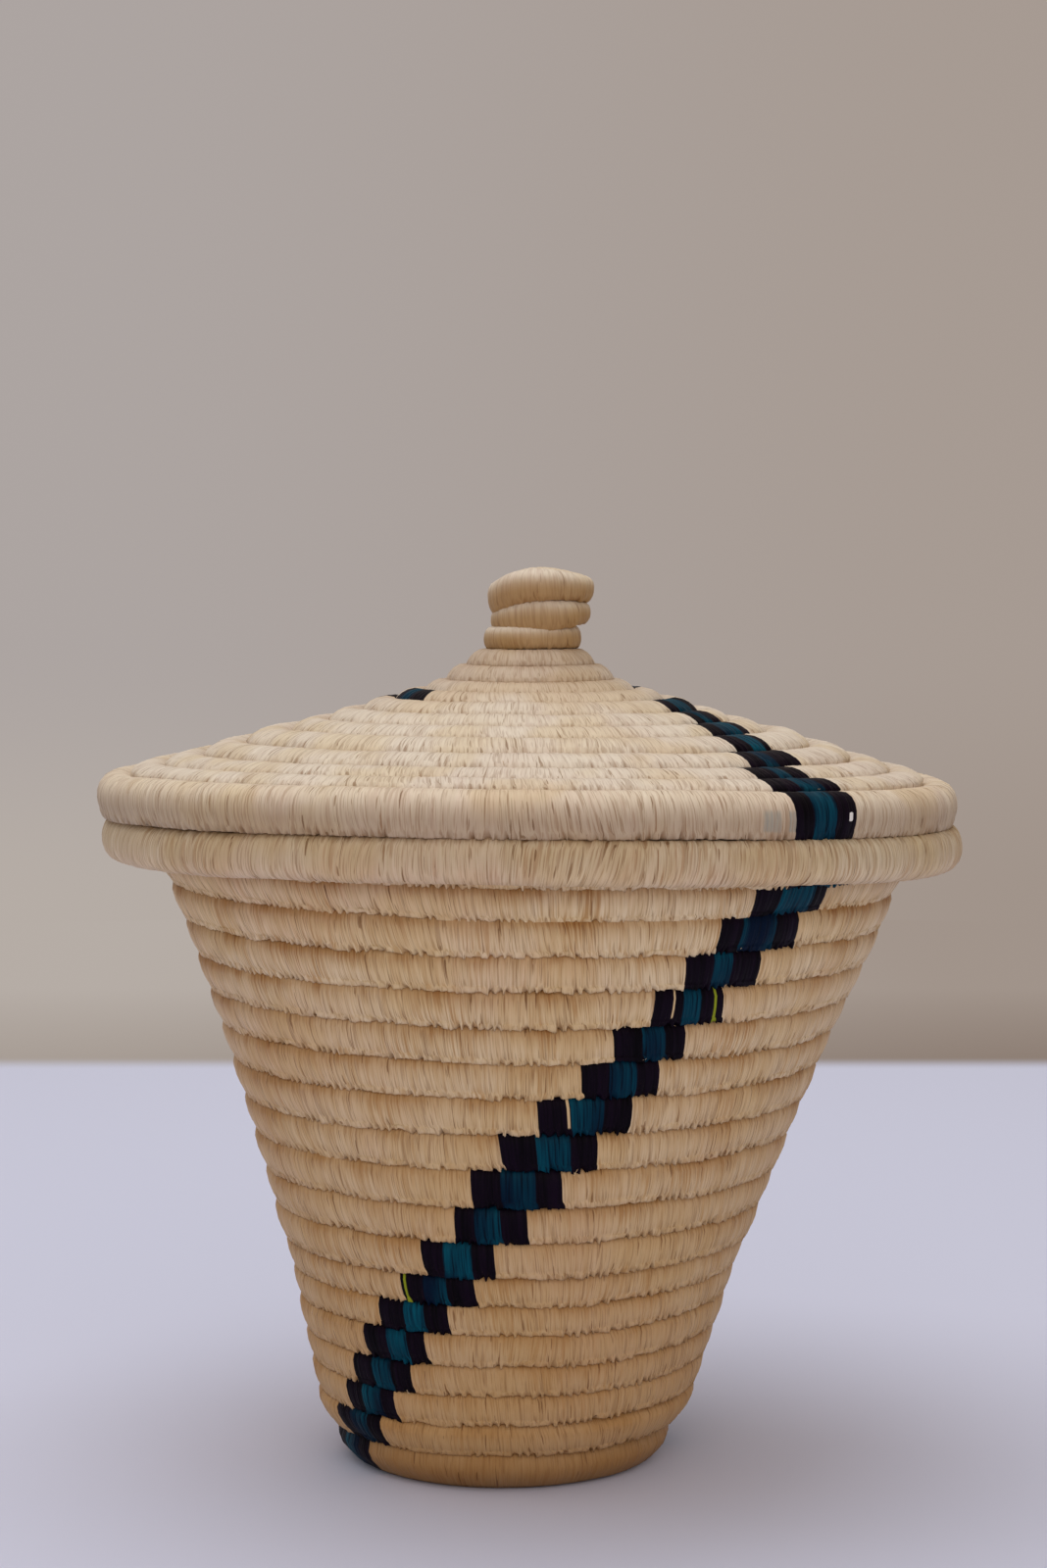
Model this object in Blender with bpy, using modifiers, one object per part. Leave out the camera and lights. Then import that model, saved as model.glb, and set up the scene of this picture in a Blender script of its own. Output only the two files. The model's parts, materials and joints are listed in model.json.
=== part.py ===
"""Coiled basket with a lifting lid.

The base, the wall, the lid and the knob are each one long coil. A coil's rows lie level over the
front of the basket, and step to the next row over a short stretch at the back.
Units are metres, +Z is up, and the camera side is -Y.
"""

import math

import bmesh
import bpy
import numpy as np
from mathutils import Vector

# Coils in general
ROW_GAP = 0.00065
LEAST_GAP = 0.00048
PIECE_GAP = 0.0003
POINTS_PER_LOOP = 18
KNOB_POINTS_PER_LOOP = 12
BEVEL_RESOLUTION = 1
CORNER_ANGLE = math.radians(60)
CORNER_UP = math.radians(30)
SHARP_ANGLE = math.radians(70)
FLAT_SHARE = 0.9  # a faceted tube's reach towards a neighbour that faces one of its flats
SAMPLES_PER_CHORD = 4
PRESS_PASSES = 4
STEP_START = math.radians(40)
STEP_SWEEP = math.radians(100)
KNOB_STEP_START = math.radians(0)
KNOB_STEP_SWEEP = math.radians(180)
MERGE_DISTANCE = 0.00001
TAIL_SHARES = (0.2, 0.4)
FOOT_CUT_SHARE = 0.1
CUT_OVERRUN = 0.020
TURNED_STEPS = 24
MILLIMETRE = 0.001

# Base: a button with a flat spiral round it, out to the wall's foot row
BASE_ROWS = 4
BUTTON_RADIUS = 0.0078
BUTTON_HEIGHT = 0.0088
BUTTON_EDGE = 0.0022
BASE_SHIFT = -0.0087

# Wall: shares of the row thickness run from the foot row to the hidden mouth row behind the rim.
# The foot radius and the wall's height are measured between centre lines.
FOOT_RADIUS = 0.0516
WALL_HEIGHT = 0.1974
WALL_ROW_SHARES = (
    1.18, 0.88, 0.86, 0.86, 0.90, 0.85, 0.86, 1.02, 1.02, 1.07,
    1.03, 1.05, 1.02, 1.00, 1.03, 1.02, 1.01, 1.00, 0.86,
)
FOOT_SLOPE = math.radians(26.0)
WALL_LOW_SLOPE = math.radians(13.5)
WALL_TOP_SLOPE = math.radians(21.5)
WALL_FLARE_SHARE = 0.8
MOUTH_SLOPE = math.radians(40.0)
LEAN_HEIGHT = 0.170
MOUTH_SHIFT = 0.0006

# The two rims
RIM_DIAMETER = 0.0132
RIM_SLOPE = math.radians(25.5)
LID_RIM_DIAMETER = 0.0135
LID_RIM_SETBACK = 0.00015
LID_SHIFT = -0.0010

# Lid: shares of the row thickness run from the rim inwards to the knob
LID_ROW_SHARES = (0.95, 1.08, 1.16, 1.20, 1.04, 0.95, 0.93, 0.83, 0.76, 0.69, 0.70)
LID_RIM_SLOPE = math.radians(28.0)
LID_EDGE_SLOPE = math.radians(9.0)
LID_CROWN_SLOPE = math.radians(22.0)
LID_KNOB_SLOPES = (math.radians(38.0), math.radians(38.0))
LID_DRIFT = 0.0012

# Seat ring: drops into the mouth under the lid
SEAT_ROWS = 2
SEAT_ROW_THICKNESS = 0.0090
SEAT_CLEARANCE = 0.0038

# Knob: bottom, middle and top turn
KNOB_RADII = (0.0122, 0.0116, 0.0126)
KNOB_THICKNESSES = (0.0072, 0.0084, 0.0100)
KNOB_SHIFTS = (0.0010, 0.0020, 0.0024)
KNOB_OVERHANG = 0.0036
KNOB_RISE = 0.0003
CORE_SHIFT = 0.0014
CORE_FOOT_DEPTH = 0.0055
CORE_CROWN_DROP = 0.0022
CORE_EDGE = 0.0015

# Raffia colours
RAFFIA = (0.72, 0.58, 0.41)
RAFFIA_SHADED = (0.62, 0.48, 0.32)
RAFFIA_KNOB = (0.60, 0.42, 0.22)
RAFFIA_ROUGHNESS = 0.7

PARTS_NAME = "coiled_basket"
CUTTERS_NAME = "cutters"


def smooth(share):
    """An even start and end between 0 and 1."""
    share = min(max(share, 0.0), 1.0)
    return share * share * (3.0 - 2.0 * share)


def blend(low, high, share):
    return low + (high - low) * share


def clear_scene():
    for obj in list(bpy.data.objects):
        bpy.data.objects.remove(obj, do_unlink=True)
    for old in list(bpy.data.collections):
        bpy.data.collections.remove(old)


def make_collection(name):
    made = bpy.data.collections.new(name)
    bpy.context.scene.collection.children.link(made)
    return made


def make_material(name, colour):
    material = bpy.data.materials.new(name)
    material.use_nodes = True
    shader = material.node_tree.nodes["Principled BSDF"]
    shader.inputs["Base Color"].default_value = (*colour, 1.0)
    shader.inputs["Roughness"].default_value = RAFFIA_ROUGHNESS
    shader.inputs["Metallic"].default_value = 0.0
    material.diffuse_color = (*colour, 1.0)
    return material


class Row:
    """One loop of a coil: its centre line's radius and height, its tube's radius, its shift along X,
    and the turn of its faceted section, which points a corner at its neighbour."""

    def __init__(self, radius, height, tube, shift, turn=0.0):
        self.radius = radius
        self.height = height
        self.tube = tube
        self.shift = shift
        self.turn = turn


def tube_radius(thickness):
    return (thickness - ROW_GAP) / 2.0


def foot_height(tube):
    """Height of a centre line whose tube is cut flat at the table."""
    return tube * (1.0 - 2.0 * FOOT_CUT_SHARE)


def lean(height):
    """The basket leans a little: its foot lies to the left of its mouth."""
    share = min(max(1.0 - height / LEAN_HEIGHT, 0.0), 1.0)
    return blend(MOUTH_SHIFT, BASE_SHIFT, share)


def pair_shares(shares):
    """Shares of the row thickness from each row's centre line to the next one's."""
    return [(first + second) / 2.0 for first, second in zip(shares, shares[1:])]


def wall_slopes():
    """How far from upright the wall goes from each row to the next; it turns out at foot and mouth."""
    steps = len(WALL_ROW_SHARES) - 1
    slopes = [
        blend(WALL_LOW_SLOPE, WALL_TOP_SLOPE, smooth(index / (steps * WALL_FLARE_SHARE)))
        for index in range(steps)
    ]
    slopes[0] = FOOT_SLOPE
    slopes[-1] = MOUTH_SLOPE
    return slopes


def wall_row_thickness():
    """The row thickness at which the rows climb the wall's height."""
    climbs = zip(pair_shares(WALL_ROW_SHARES), wall_slopes())
    return WALL_HEIGHT / sum(pair * math.cos(slope) for pair, slope in climbs)


def base_row_thickness():
    """The row thickness at which the base's rows just fill the foot row."""
    foot = wall_row_thickness() * WALL_ROW_SHARES[0]
    first = BUTTON_RADIUS + PIECE_GAP - ROW_GAP / 2.0
    return (FOOT_RADIUS - foot / 2.0 - first) / BASE_ROWS


def base_rows():
    thickness = base_row_thickness()
    tube = tube_radius(thickness)
    first = BUTTON_RADIUS + PIECE_GAP + tube
    return [
        Row(first + thickness * index, foot_height(tube), tube, BASE_SHIFT)
        for index in range(BASE_ROWS)
    ]


def wall_rows():
    thickness = wall_row_thickness()
    tubes = [tube_radius(thickness * share) for share in WALL_ROW_SHARES]
    rows = [Row(FOOT_RADIUS, foot_height(tubes[0]), tubes[0], BASE_SHIFT)]
    for pair, slope, tube in zip(pair_shares(WALL_ROW_SHARES), wall_slopes(), tubes[1:]):
        below = rows[-1]
        height = below.height + thickness * pair * math.cos(slope)
        radius = below.radius + thickness * pair * math.sin(slope)
        rows.append(Row(radius, height, tube, lean(height)))
    return rows


def rim_row():
    """The rim is sewn to the outside of the wall's mouth row."""
    tube = RIM_DIAMETER / 2.0
    inner = wall_rows()[-1]
    reach = inner.tube * FLAT_SHARE + PIECE_GAP + tube
    radius = inner.radius + reach * math.cos(RIM_SLOPE)
    height = inner.height + reach * math.sin(RIM_SLOPE)
    return Row(radius, height, tube, MOUTH_SHIFT, CORNER_UP)


def lid_rim_row():
    """The lid's rim lies on the body's rim, nearly flush with it outside."""
    tube = LID_RIM_DIAMETER / 2.0
    below = rim_row()
    radius = below.radius + below.tube - LID_RIM_SETBACK - tube
    height = below.height + below.tube + PIECE_GAP + tube
    return Row(radius, height, tube, LID_SHIFT, CORNER_UP)


def lid_slopes():
    """How steeply the lid climbs from each row to the next; it turns up at the knob."""
    gentle = len(LID_ROW_SHARES) - 1 - len(LID_KNOB_SLOPES)
    slopes = [blend(LID_EDGE_SLOPE, LID_CROWN_SLOPE, index / (gentle - 1)) for index in range(gentle)]
    return slopes + list(LID_KNOB_SLOPES)


def lid_row_thickness(rim):
    """The row thickness at which the rows just fill the lid between its rim and its knob."""
    fixed = (rim.tube + PIECE_GAP - ROW_GAP / 2.0 * FLAT_SHARE) * math.cos(LID_RIM_SLOPE)
    shares = LID_ROW_SHARES[0] / 2.0 * FLAT_SHARE * math.cos(LID_RIM_SLOPE)
    spans = zip(pair_shares(LID_ROW_SHARES), lid_slopes())
    shares += sum(pair * math.cos(slope) for pair, slope in spans)
    return (rim.radius - fixed - KNOB_RADII[0] - KNOB_OVERHANG) / shares


def lid_rows():
    """Rows from the rim inwards, climbing to the knob."""
    rim = lid_rim_row()
    thickness = lid_row_thickness(rim)
    tubes = [tube_radius(thickness * share) for share in LID_ROW_SHARES]
    reach = rim.tube + PIECE_GAP + tubes[0] * FLAT_SHARE
    radius = rim.radius - reach * math.cos(LID_RIM_SLOPE)
    height = rim.height + reach * math.sin(LID_RIM_SLOPE)
    rows = [Row(radius, height, tubes[0], LID_SHIFT)]
    drift = LID_DRIFT / (len(tubes) - 1)
    for pair, slope, tube in zip(pair_shares(LID_ROW_SHARES), lid_slopes(), tubes[1:]):
        outer = rows[-1]
        radius = outer.radius - thickness * pair * math.cos(slope)
        height = outer.height + thickness * pair * math.sin(slope)
        rows.append(Row(radius, height, tube, outer.shift + drift))
    return rows


def seat_rows():
    """Turns under the lid's second row that clear the mouth, lowest one first."""
    tube = tube_radius(SEAT_ROW_THICKNESS)
    over = lid_rows()[1]
    mouth = wall_rows()[-1]
    radius = mouth.radius - mouth.tube - SEAT_CLEARANCE - tube
    reach = over.tube * FLAT_SHARE + PIECE_GAP + tube
    across = over.radius - radius
    top = over.height - math.sqrt(reach * reach - across * across)
    return [
        Row(radius, top - SEAT_ROW_THICKNESS * index, tube, LID_SHIFT)
        for index in reversed(range(SEAT_ROWS))
    ]


def knob_rows():
    inner = lid_rows()[-1]
    tubes = [tube_radius(thickness) for thickness in KNOB_THICKNESSES]
    reach = inner.tube + ROW_GAP + tubes[0]
    across = inner.radius - KNOB_RADII[0] - (KNOB_SHIFTS[0] - inner.shift)
    height = inner.height + math.sqrt(reach * reach - across * across) + KNOB_RISE
    rows = []
    for index, radius in enumerate(KNOB_RADII):
        if index:
            height += (KNOB_THICKNESSES[index - 1] + KNOB_THICKNESSES[index]) / 2.0
        rows.append(Row(radius, height, tubes[index], KNOB_SHIFTS[index]))
    return rows


def face_neighbours(rows):
    """Turn each row's section so that a corner points at the next row."""
    turn = 0.0
    for row, following in zip(rows, rows[1:]):
        towards = math.atan2(following.height - row.height, following.radius - row.radius)
        turn = towards - CORNER_ANGLE * round((towards - turn) / CORNER_ANGLE)
        row.turn = turn
    rows[-1].turn = turn
    return rows


def at_row(rows, place):
    """A row between two neighbours; place counts rows from the first one."""
    lower = min(int(math.floor(place)), len(rows) - 1)
    upper = min(lower + 1, len(rows) - 1)
    share = place - lower
    low, high = rows[lower], rows[upper]
    return Row(
        blend(low.radius, high.radius, share),
        blend(low.height, high.height, share),
        blend(low.tube, high.tube, share),
        blend(low.shift, high.shift, share),
        blend(low.turn, high.turn, share),
    )


def coil_point(row, angle, per_loop):
    """A point of the centre line, with the polygon's mean radius equal to the row's."""
    corner = row.radius * 2.0 / (1.0 + math.cos(math.pi / per_loop))
    place = Vector((row.shift + corner * math.cos(angle), corner * math.sin(angle), row.height))
    return place, row.tube, row.turn


def tail_points(row, shares, angles, per_loop):
    """A thinning end that fills the start of the step, where the next row draws away."""
    points = []
    for share, angle in zip(shares, angles):
        thin = (row.tube + ROW_GAP / 2.0) * (1.0 - 2.0 * smooth(share)) - ROW_GAP / 2.0
        thinned = Row(row.radius, row.height, thin, row.shift, row.turn)
        points.append(coil_point(thinned, angle, per_loop))
    return points


def coil_path(rows, per_loop=POINTS_PER_LOOP, step_start=STEP_START, sweep=STEP_SWEEP):
    """Every loop starts where its step ends, runs level, then steps to the next row."""
    full = 2.0 * math.pi
    begin = step_start + sweep
    rows = face_neighbours(rows)
    rising = list(reversed(TAIL_SHARES))
    points = tail_points(rows[0], rising, [begin - share * sweep for share in rising], per_loop)
    level_points = round(per_loop * (full - sweep) / full) + 1
    for loop in range(len(rows)):
        last = loop == len(rows) - 1
        for index in range(level_points if last else per_loop):
            swept = full * index / per_loop
            share = (swept - full + sweep) / sweep
            points.append(coil_point(at_row(rows, loop + smooth(share)), begin + swept, per_loop))
    angles = [step_start + share * sweep for share in TAIL_SHARES]
    points += tail_points(rows[-1], TAIL_SHARES, angles, per_loop)
    return press_apart(points, per_loop)


def ring_path(row, per_loop=POINTS_PER_LOOP):
    """One loop whose two ends face each other at the back, square to each other."""
    spacing = 2.0 * math.pi / per_loop
    angles = [math.pi / 2.0 + spacing * (index + 0.5) for index in range(per_loop)]
    corners = [coil_point(row, angle, per_loop) for angle in angles]
    first, last = corners[0][0], corners[-1][0]
    middle = (first + last) / 2.0
    along = (first - last).normalized()
    start = (middle + along * ROW_GAP / 2.0, row.tube, row.turn)
    end = (middle - along * ROW_GAP / 2.0, row.tube, row.turn)
    return [start] + corners + [end]


def split_paths(path, place):
    """Cut a path in the middle of a straight stretch; the two ends face each other."""
    before, after = path[place], path[place + 1]
    middle = (before[0] + after[0]) / 2.0
    along = (after[0] - before[0]).normalized()
    tube = (before[1] + after[1]) / 2.0
    turn = (before[2] + after[2]) / 2.0
    ending = (middle - along * ROW_GAP / 2.0, tube, turn)
    beginning = (middle + along * ROW_GAP / 2.0, tube, turn)
    return path[:place + 1] + [ending], [beginning] + path[place + 1:]


def chord_samples(path):
    """Places and tube radii along every straight stretch of a path."""
    places, tubes = [], []
    for (start, start_tube, _), (end, end_tube, _) in zip(path, path[1:]):
        for index in range(SAMPLES_PER_CHORD):
            share = index / SAMPLES_PER_CHORD
            places.append(start.lerp(end, share))
            tubes.append(blend(start_tube, end_tube, share))
    return np.array(places), np.array(tubes)


def turn_gaps(path, per_loop):
    """For each sample, its least gap to the turns that come after it, and that turn's sample."""
    places, tubes = chord_samples(path)
    apart = SAMPLES_PER_CHORD * per_loop // 2
    found = []
    for index in range(len(places) - apart):
        far = places[index + apart:] - places[index]
        gaps = np.sqrt((far * far).sum(axis=1)) - tubes[index + apart:] - tubes[index]
        nearest = int(gaps.argmin())
        found.append((index, index + apart + nearest, float(gaps[nearest])))
    return found


def least_gap(path, per_loop):
    """Least gap of a tube to its own other turns, measured on points along its centre line."""
    return min(gap for _, _, gap in turn_gaps(path, per_loop))


def press_apart(path, per_loop):
    """A coil is pressed thinner wherever two of its turns would come too close, as in the steps."""
    for _ in range(PRESS_PASSES):
        thinner = [0.0] * len(path)
        for first, second, gap in turn_gaps(path, per_loop):
            short = max(LEAST_GAP - gap, 0.0) / 2.0
            for sample in (first, second):
                corner = sample // SAMPLES_PER_CHORD
                thinner[corner] = max(thinner[corner], short)
                thinner[corner + 1] = max(thinner[corner + 1], short)
        path = [(place, tube - less, turn) for (place, tube, turn), less in zip(path, thinner)]
    return path


def add_tube(name, path, material, collection):
    """A tube along a path, as a mesh with welded caps."""
    curve = bpy.data.curves.new(name + "_line", "CURVE")
    curve.dimensions = "3D"
    curve.twist_mode = "Z_UP"
    curve.bevel_depth = 1.0
    curve.bevel_resolution = BEVEL_RESOLUTION
    curve.use_fill_caps = True
    spline = curve.splines.new("POLY")
    spline.points.add(len(path) - 1)
    for point, (place, tube, turn) in zip(spline.points, path):
        point.co = (*place, 1.0)
        point.radius = tube
        point.tilt = -turn
    line = bpy.data.objects.new(name + "_line", curve)
    collection.objects.link(line)
    bpy.context.view_layer.update()
    evaluated = line.evaluated_get(bpy.context.evaluated_depsgraph_get())
    mesh = bpy.data.meshes.new_from_object(evaluated)
    bpy.data.objects.remove(line, do_unlink=True)
    shape = bmesh.new()
    shape.from_mesh(mesh)
    bmesh.ops.remove_doubles(shape, verts=shape.verts, dist=MERGE_DISTANCE)
    bmesh.ops.recalc_face_normals(shape, faces=shape.faces)
    shape.to_mesh(mesh)
    shape.free()
    obj = bpy.data.objects.new(name, mesh)
    collection.objects.link(obj)
    mesh.materials.clear()
    mesh.materials.append(material)
    mesh.shade_smooth()
    mesh.set_sharp_from_angle(angle=SHARP_ANGLE)
    return obj


def report_gap(name, path, gap):
    print("%s: %d points, least gap to itself %.2f mm" % (name, len(path), gap / MILLIMETRE))


def add_coil(name, path, per_loop, material, collection):
    report_gap(name, path, least_gap(path, per_loop))
    return add_tube(name, path, material, collection)


def add_ring(name, row, material, collection):
    path = ring_path(row)
    report_gap(name, path, (path[0][0] - path[-1][0]).length)
    return add_tube(name, path, material, collection)


def add_turned(name, profile, shift, material, collection):
    """A solid turned about the vertical through X = shift; the profile runs from top to bottom."""
    mesh = bpy.data.meshes.new(name)
    shape = bmesh.new()
    corners = [shape.verts.new((radius, 0.0, height)) for radius, height in profile]
    for start, end in zip(corners, corners[1:]):
        shape.edges.new((start, end))
    shape.to_mesh(mesh)
    shape.free()
    obj = bpy.data.objects.new(name, mesh)
    collection.objects.link(obj)
    obj.location.x = shift
    mesh.materials.append(material)
    screw = obj.modifiers.new("turn", "SCREW")
    screw.axis = "Z"
    screw.steps = TURNED_STEPS
    screw.render_steps = TURNED_STEPS
    screw.use_merge_vertices = True
    screw.merge_threshold = MERGE_DISTANCE
    screw.use_smooth_shade = False
    return obj


def cut_flat(obj, floor_cutter):
    cut = obj.modifiers.new("flat_foot", "BOOLEAN")
    cut.operation = "DIFFERENCE"
    cut.solver = "EXACT"
    cut.object = floor_cutter


def make_floor_cutter(collection):
    """A block whose top face is the table."""
    foot = wall_rows()[0]
    width = 2.0 * (foot.radius + foot.tube + CUT_OVERRUN)
    place = (foot.shift, 0.0, -CUT_OVERRUN / 2.0)
    bpy.ops.mesh.primitive_cube_add(size=1.0, location=place)
    cutter = bpy.context.active_object
    cutter.name = "floor_cutter"
    for owner in list(cutter.users_collection):
        owner.objects.unlink(cutter)
    collection.objects.link(cutter)
    cutter.scale = (width, width, CUT_OVERRUN)
    cutter.hide_render = True
    cutter.display_type = "WIRE"
    return cutter


def button_profile():
    return [
        (0.0, BUTTON_HEIGHT),
        (BUTTON_RADIUS - BUTTON_EDGE, BUTTON_HEIGHT),
        (BUTTON_RADIUS, BUTTON_HEIGHT - BUTTON_EDGE),
        (BUTTON_RADIUS, BUTTON_EDGE / 2.0),
        (BUTTON_RADIUS - BUTTON_EDGE / 2.0, 0.0),
        (0.0, 0.0),
    ]


def polygon_inset(row, per_loop):
    """How far a loop's flats lie inside its true circle."""
    half = math.cos(math.pi / per_loop)
    return row.radius * (1.0 - 2.0 * half / (1.0 + half))


def core_profile():
    """A stem inside the knob's turns and a wider foot inside the lid's first row."""
    turns = knob_rows()
    stem = min(
        row.radius - row.tube - abs(row.shift - CORE_SHIFT) - polygon_inset(row, KNOB_POINTS_PER_LOOP)
        for row in turns
    ) - PIECE_GAP
    inner = lid_rows()[-1]
    foot = inner.radius - inner.tube - abs(inner.shift - CORE_SHIFT)
    foot -= polygon_inset(inner, POINTS_PER_LOOP) + PIECE_GAP
    foot_top = turns[0].height - turns[0].tube - PIECE_GAP
    foot_bottom = foot_top - CORE_FOOT_DEPTH
    crown = turns[-1].height + turns[-1].tube - CORE_CROWN_DROP
    return [
        (0.0, crown),
        (stem - CORE_EDGE, crown),
        (stem, crown - CORE_EDGE),
        (stem, foot_top),
        (foot - CORE_EDGE, foot_top),
        (foot, foot_top - CORE_EDGE),
        (foot, foot_bottom + CORE_EDGE),
        (foot - CORE_EDGE, foot_bottom),
        (0.0, foot_bottom),
    ]


def main():
    clear_scene()
    parts = make_collection(PARTS_NAME)
    cutters = make_collection(CUTTERS_NAME)
    raffia = make_material("raffia", RAFFIA)
    shaded = make_material("raffia_shaded", RAFFIA_SHADED)
    knob_raffia = make_material("raffia_knob", RAFFIA_KNOB)
    floor_cutter = make_floor_cutter(cutters)

    body = base_rows() + wall_rows()
    path = coil_path(body)
    seam = len(TAIL_SHARES) + POINTS_PER_LOOP * BASE_ROWS - 1
    base_path, wall_path = split_paths(path, seam)

    add_turned("base_start", button_profile(), BASE_SHIFT, shaded, parts)
    base = add_coil("base_coil", base_path, POINTS_PER_LOOP, shaded, parts)
    wall = add_coil("wall_coil", wall_path, POINTS_PER_LOOP, raffia, parts)
    cut_flat(base, floor_cutter)
    cut_flat(wall, floor_cutter)
    add_ring("rim_coil", rim_row(), raffia, parts)

    add_ring("lid_rim_coil", lid_rim_row(), raffia, parts)
    add_coil("lid_coil", coil_path(lid_rows()), POINTS_PER_LOOP, raffia, parts)
    add_coil("lid_seat_ring", coil_path(seat_rows()), POINTS_PER_LOOP, shaded, parts)
    knob_path = coil_path(knob_rows(), KNOB_POINTS_PER_LOOP, KNOB_STEP_START, KNOB_STEP_SWEEP)
    add_coil("knob_coil", knob_path, KNOB_POINTS_PER_LOOP, knob_raffia, parts)
    add_turned("knob_core", core_profile(), CORE_SHIFT, knob_raffia, parts)


main()
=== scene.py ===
"""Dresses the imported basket: raffia wrapped round every coil, two dyed stripes, loose fibres and a plain
stage. Units are metres, +Z is up and the camera looks along +Y. Photo places are in pixels of the
1068 x 1600 frame.
"""

import json
import math

import bpy
import numpy as np
from bpy.props import FloatProperty, FloatVectorProperty, IntProperty, PointerProperty
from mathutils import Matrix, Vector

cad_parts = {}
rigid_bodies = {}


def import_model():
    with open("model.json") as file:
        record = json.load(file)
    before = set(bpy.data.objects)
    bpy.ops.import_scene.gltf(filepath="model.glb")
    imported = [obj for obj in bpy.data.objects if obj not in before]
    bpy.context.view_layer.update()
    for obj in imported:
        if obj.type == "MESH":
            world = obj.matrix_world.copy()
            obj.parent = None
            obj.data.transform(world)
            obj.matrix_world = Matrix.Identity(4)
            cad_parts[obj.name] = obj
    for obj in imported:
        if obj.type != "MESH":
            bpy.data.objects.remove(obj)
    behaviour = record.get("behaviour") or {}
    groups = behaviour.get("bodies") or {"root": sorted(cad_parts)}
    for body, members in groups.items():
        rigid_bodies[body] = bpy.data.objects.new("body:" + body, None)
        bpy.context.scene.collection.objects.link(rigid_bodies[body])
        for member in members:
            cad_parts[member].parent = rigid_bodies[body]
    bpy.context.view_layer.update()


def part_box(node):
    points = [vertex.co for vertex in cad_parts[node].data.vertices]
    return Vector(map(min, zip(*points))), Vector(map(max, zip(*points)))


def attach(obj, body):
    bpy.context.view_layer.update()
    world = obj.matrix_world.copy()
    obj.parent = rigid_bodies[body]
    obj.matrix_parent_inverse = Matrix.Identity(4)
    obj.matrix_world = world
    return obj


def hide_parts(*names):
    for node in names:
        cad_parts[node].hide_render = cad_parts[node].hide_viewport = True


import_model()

bl_info = {
    "name": "Coiled Basket Dressing",
    "version": (1, 0, 0),
    "blender": (4, 5, 0),
    "location": "3D View > Sidebar > Basket",
    "description": "Wraps the coils of a lidded basket in raffia",
    "category": "Object",
}

FULL_TURN = 2.0 * math.pi
MM = 0.001

# Rows of the coils, as in the basket's construction
ROW_GAP = 0.65 * MM
PIECE_GAP = 0.3 * MM
FLAT_SHARE = 0.9
STEP_START = math.radians(40)
STEP_SWEEP = math.radians(100)
FOOT_CUT_SHARE = 0.1

BASE_ROWS = 4
BUTTON_RADIUS = 7.8 * MM
BUTTON_HEIGHT = 8.8 * MM
BASE_SHIFT = -8.7 * MM

FOOT_RADIUS = 51.6 * MM
WALL_HEIGHT = 197.4 * MM
WALL_ROW_SHARES = (
    1.18, 0.88, 0.86, 0.86, 0.90, 0.85, 0.86, 1.02, 1.02, 1.07,
    1.03, 1.05, 1.02, 1.00, 1.03, 1.02, 1.01, 1.00, 0.86,
)
FOOT_SLOPE = math.radians(26.0)
WALL_LOW_SLOPE = math.radians(13.5)
WALL_TOP_SLOPE = math.radians(21.5)
WALL_FLARE_SHARE = 0.8
MOUTH_SLOPE = math.radians(40.0)
LEAN_HEIGHT = 170.0 * MM
MOUTH_SHIFT = 0.6 * MM

RIM_DIAMETER = 13.2 * MM
RIM_SLOPE = math.radians(25.5)
LID_RIM_DIAMETER = 13.5 * MM
LID_RIM_SETBACK = 0.15 * MM
LID_SHIFT = -1.0 * MM

LID_ROW_SHARES = (0.95, 1.08, 1.16, 1.20, 1.04, 0.95, 0.93, 0.83, 0.76, 0.69, 0.70)
LID_RIM_SLOPE = math.radians(28.0)
LID_EDGE_SLOPE = math.radians(9.0)
LID_CROWN_SLOPE = math.radians(22.0)
LID_KNOB_SLOPES = (math.radians(38.0), math.radians(38.0))
LID_DRIFT = 1.2 * MM

SEAT_ROWS = 2
SEAT_ROW_THICKNESS = 9.0 * MM

KNOB_RADII = (12.2 * MM, 11.6 * MM, 12.6 * MM)
KNOB_THICKNESSES = (7.2 * MM, 8.4 * MM, 10.0 * MM)
KNOB_SHIFTS = (1.0 * MM, 2.0 * MM, 2.4 * MM)
KNOB_OVERHANG = 3.6 * MM
KNOB_STEP_START = 0.0
KNOB_STEP_SWEEP = math.pi

# The camera that took the photograph, fitted to the rims and the rows
VIEW_DISTANCE = 1.098
EYE_HEIGHT = 0.2925
EYE_SHIFT = -2.2 * MM
VIEW_TILT = math.radians(3.69)
FOCAL_PIXELS = 3404.0
PHOTO_HEIGHT = 1600.0
CENTRE_PIXELS = (534.0, 800.0)

SIGHT_PASSES = 40
GREATEST_SINE = 0.999

# Stripe edges in the photograph, left to right: dark start, teal start, teal end, dark end
WALL_STRIPE_PIXELS = (
    (771, 797, 831, 843), (735, 757, 791, 813), (699, 728, 747, 775), (667, 697, 715, 738),
    (627, 656, 679, 699), (593, 622, 650, 672), (549, 582, 616, 644), (510, 547, 582, 609),
    (481, 511, 547, 573), (463, 484, 511, 539), (431, 452, 481, 505), (410, 432, 456, 484),
    (387, 412, 433, 457), (372, 395, 416, 434), (361, 380, 399, 420), (355, 370, 389, 403),
    (349, 361, 377, 390), (350, 359, 372, 384),
)
LID_RIM_STRIPE_PIXELS = (811, 830, 852, 872)
LID_STRIPE_PIXELS = (
    (781, 809, 831, 847), (764, 787, 799, 816), (757, 772, 786, 805), (740, 757, 771, 777),
    (720, 732, 750, 756), (703, 712, 719, 727), (676, 686, 697, 702),
)
# Turns of the two stripes where the photograph doesn't show them: the next row in, and the back
HIDDEN_STRIPE_TURN = math.radians(13.0)
BACK_STRIPE_TURN = math.radians(-7.0)
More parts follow.
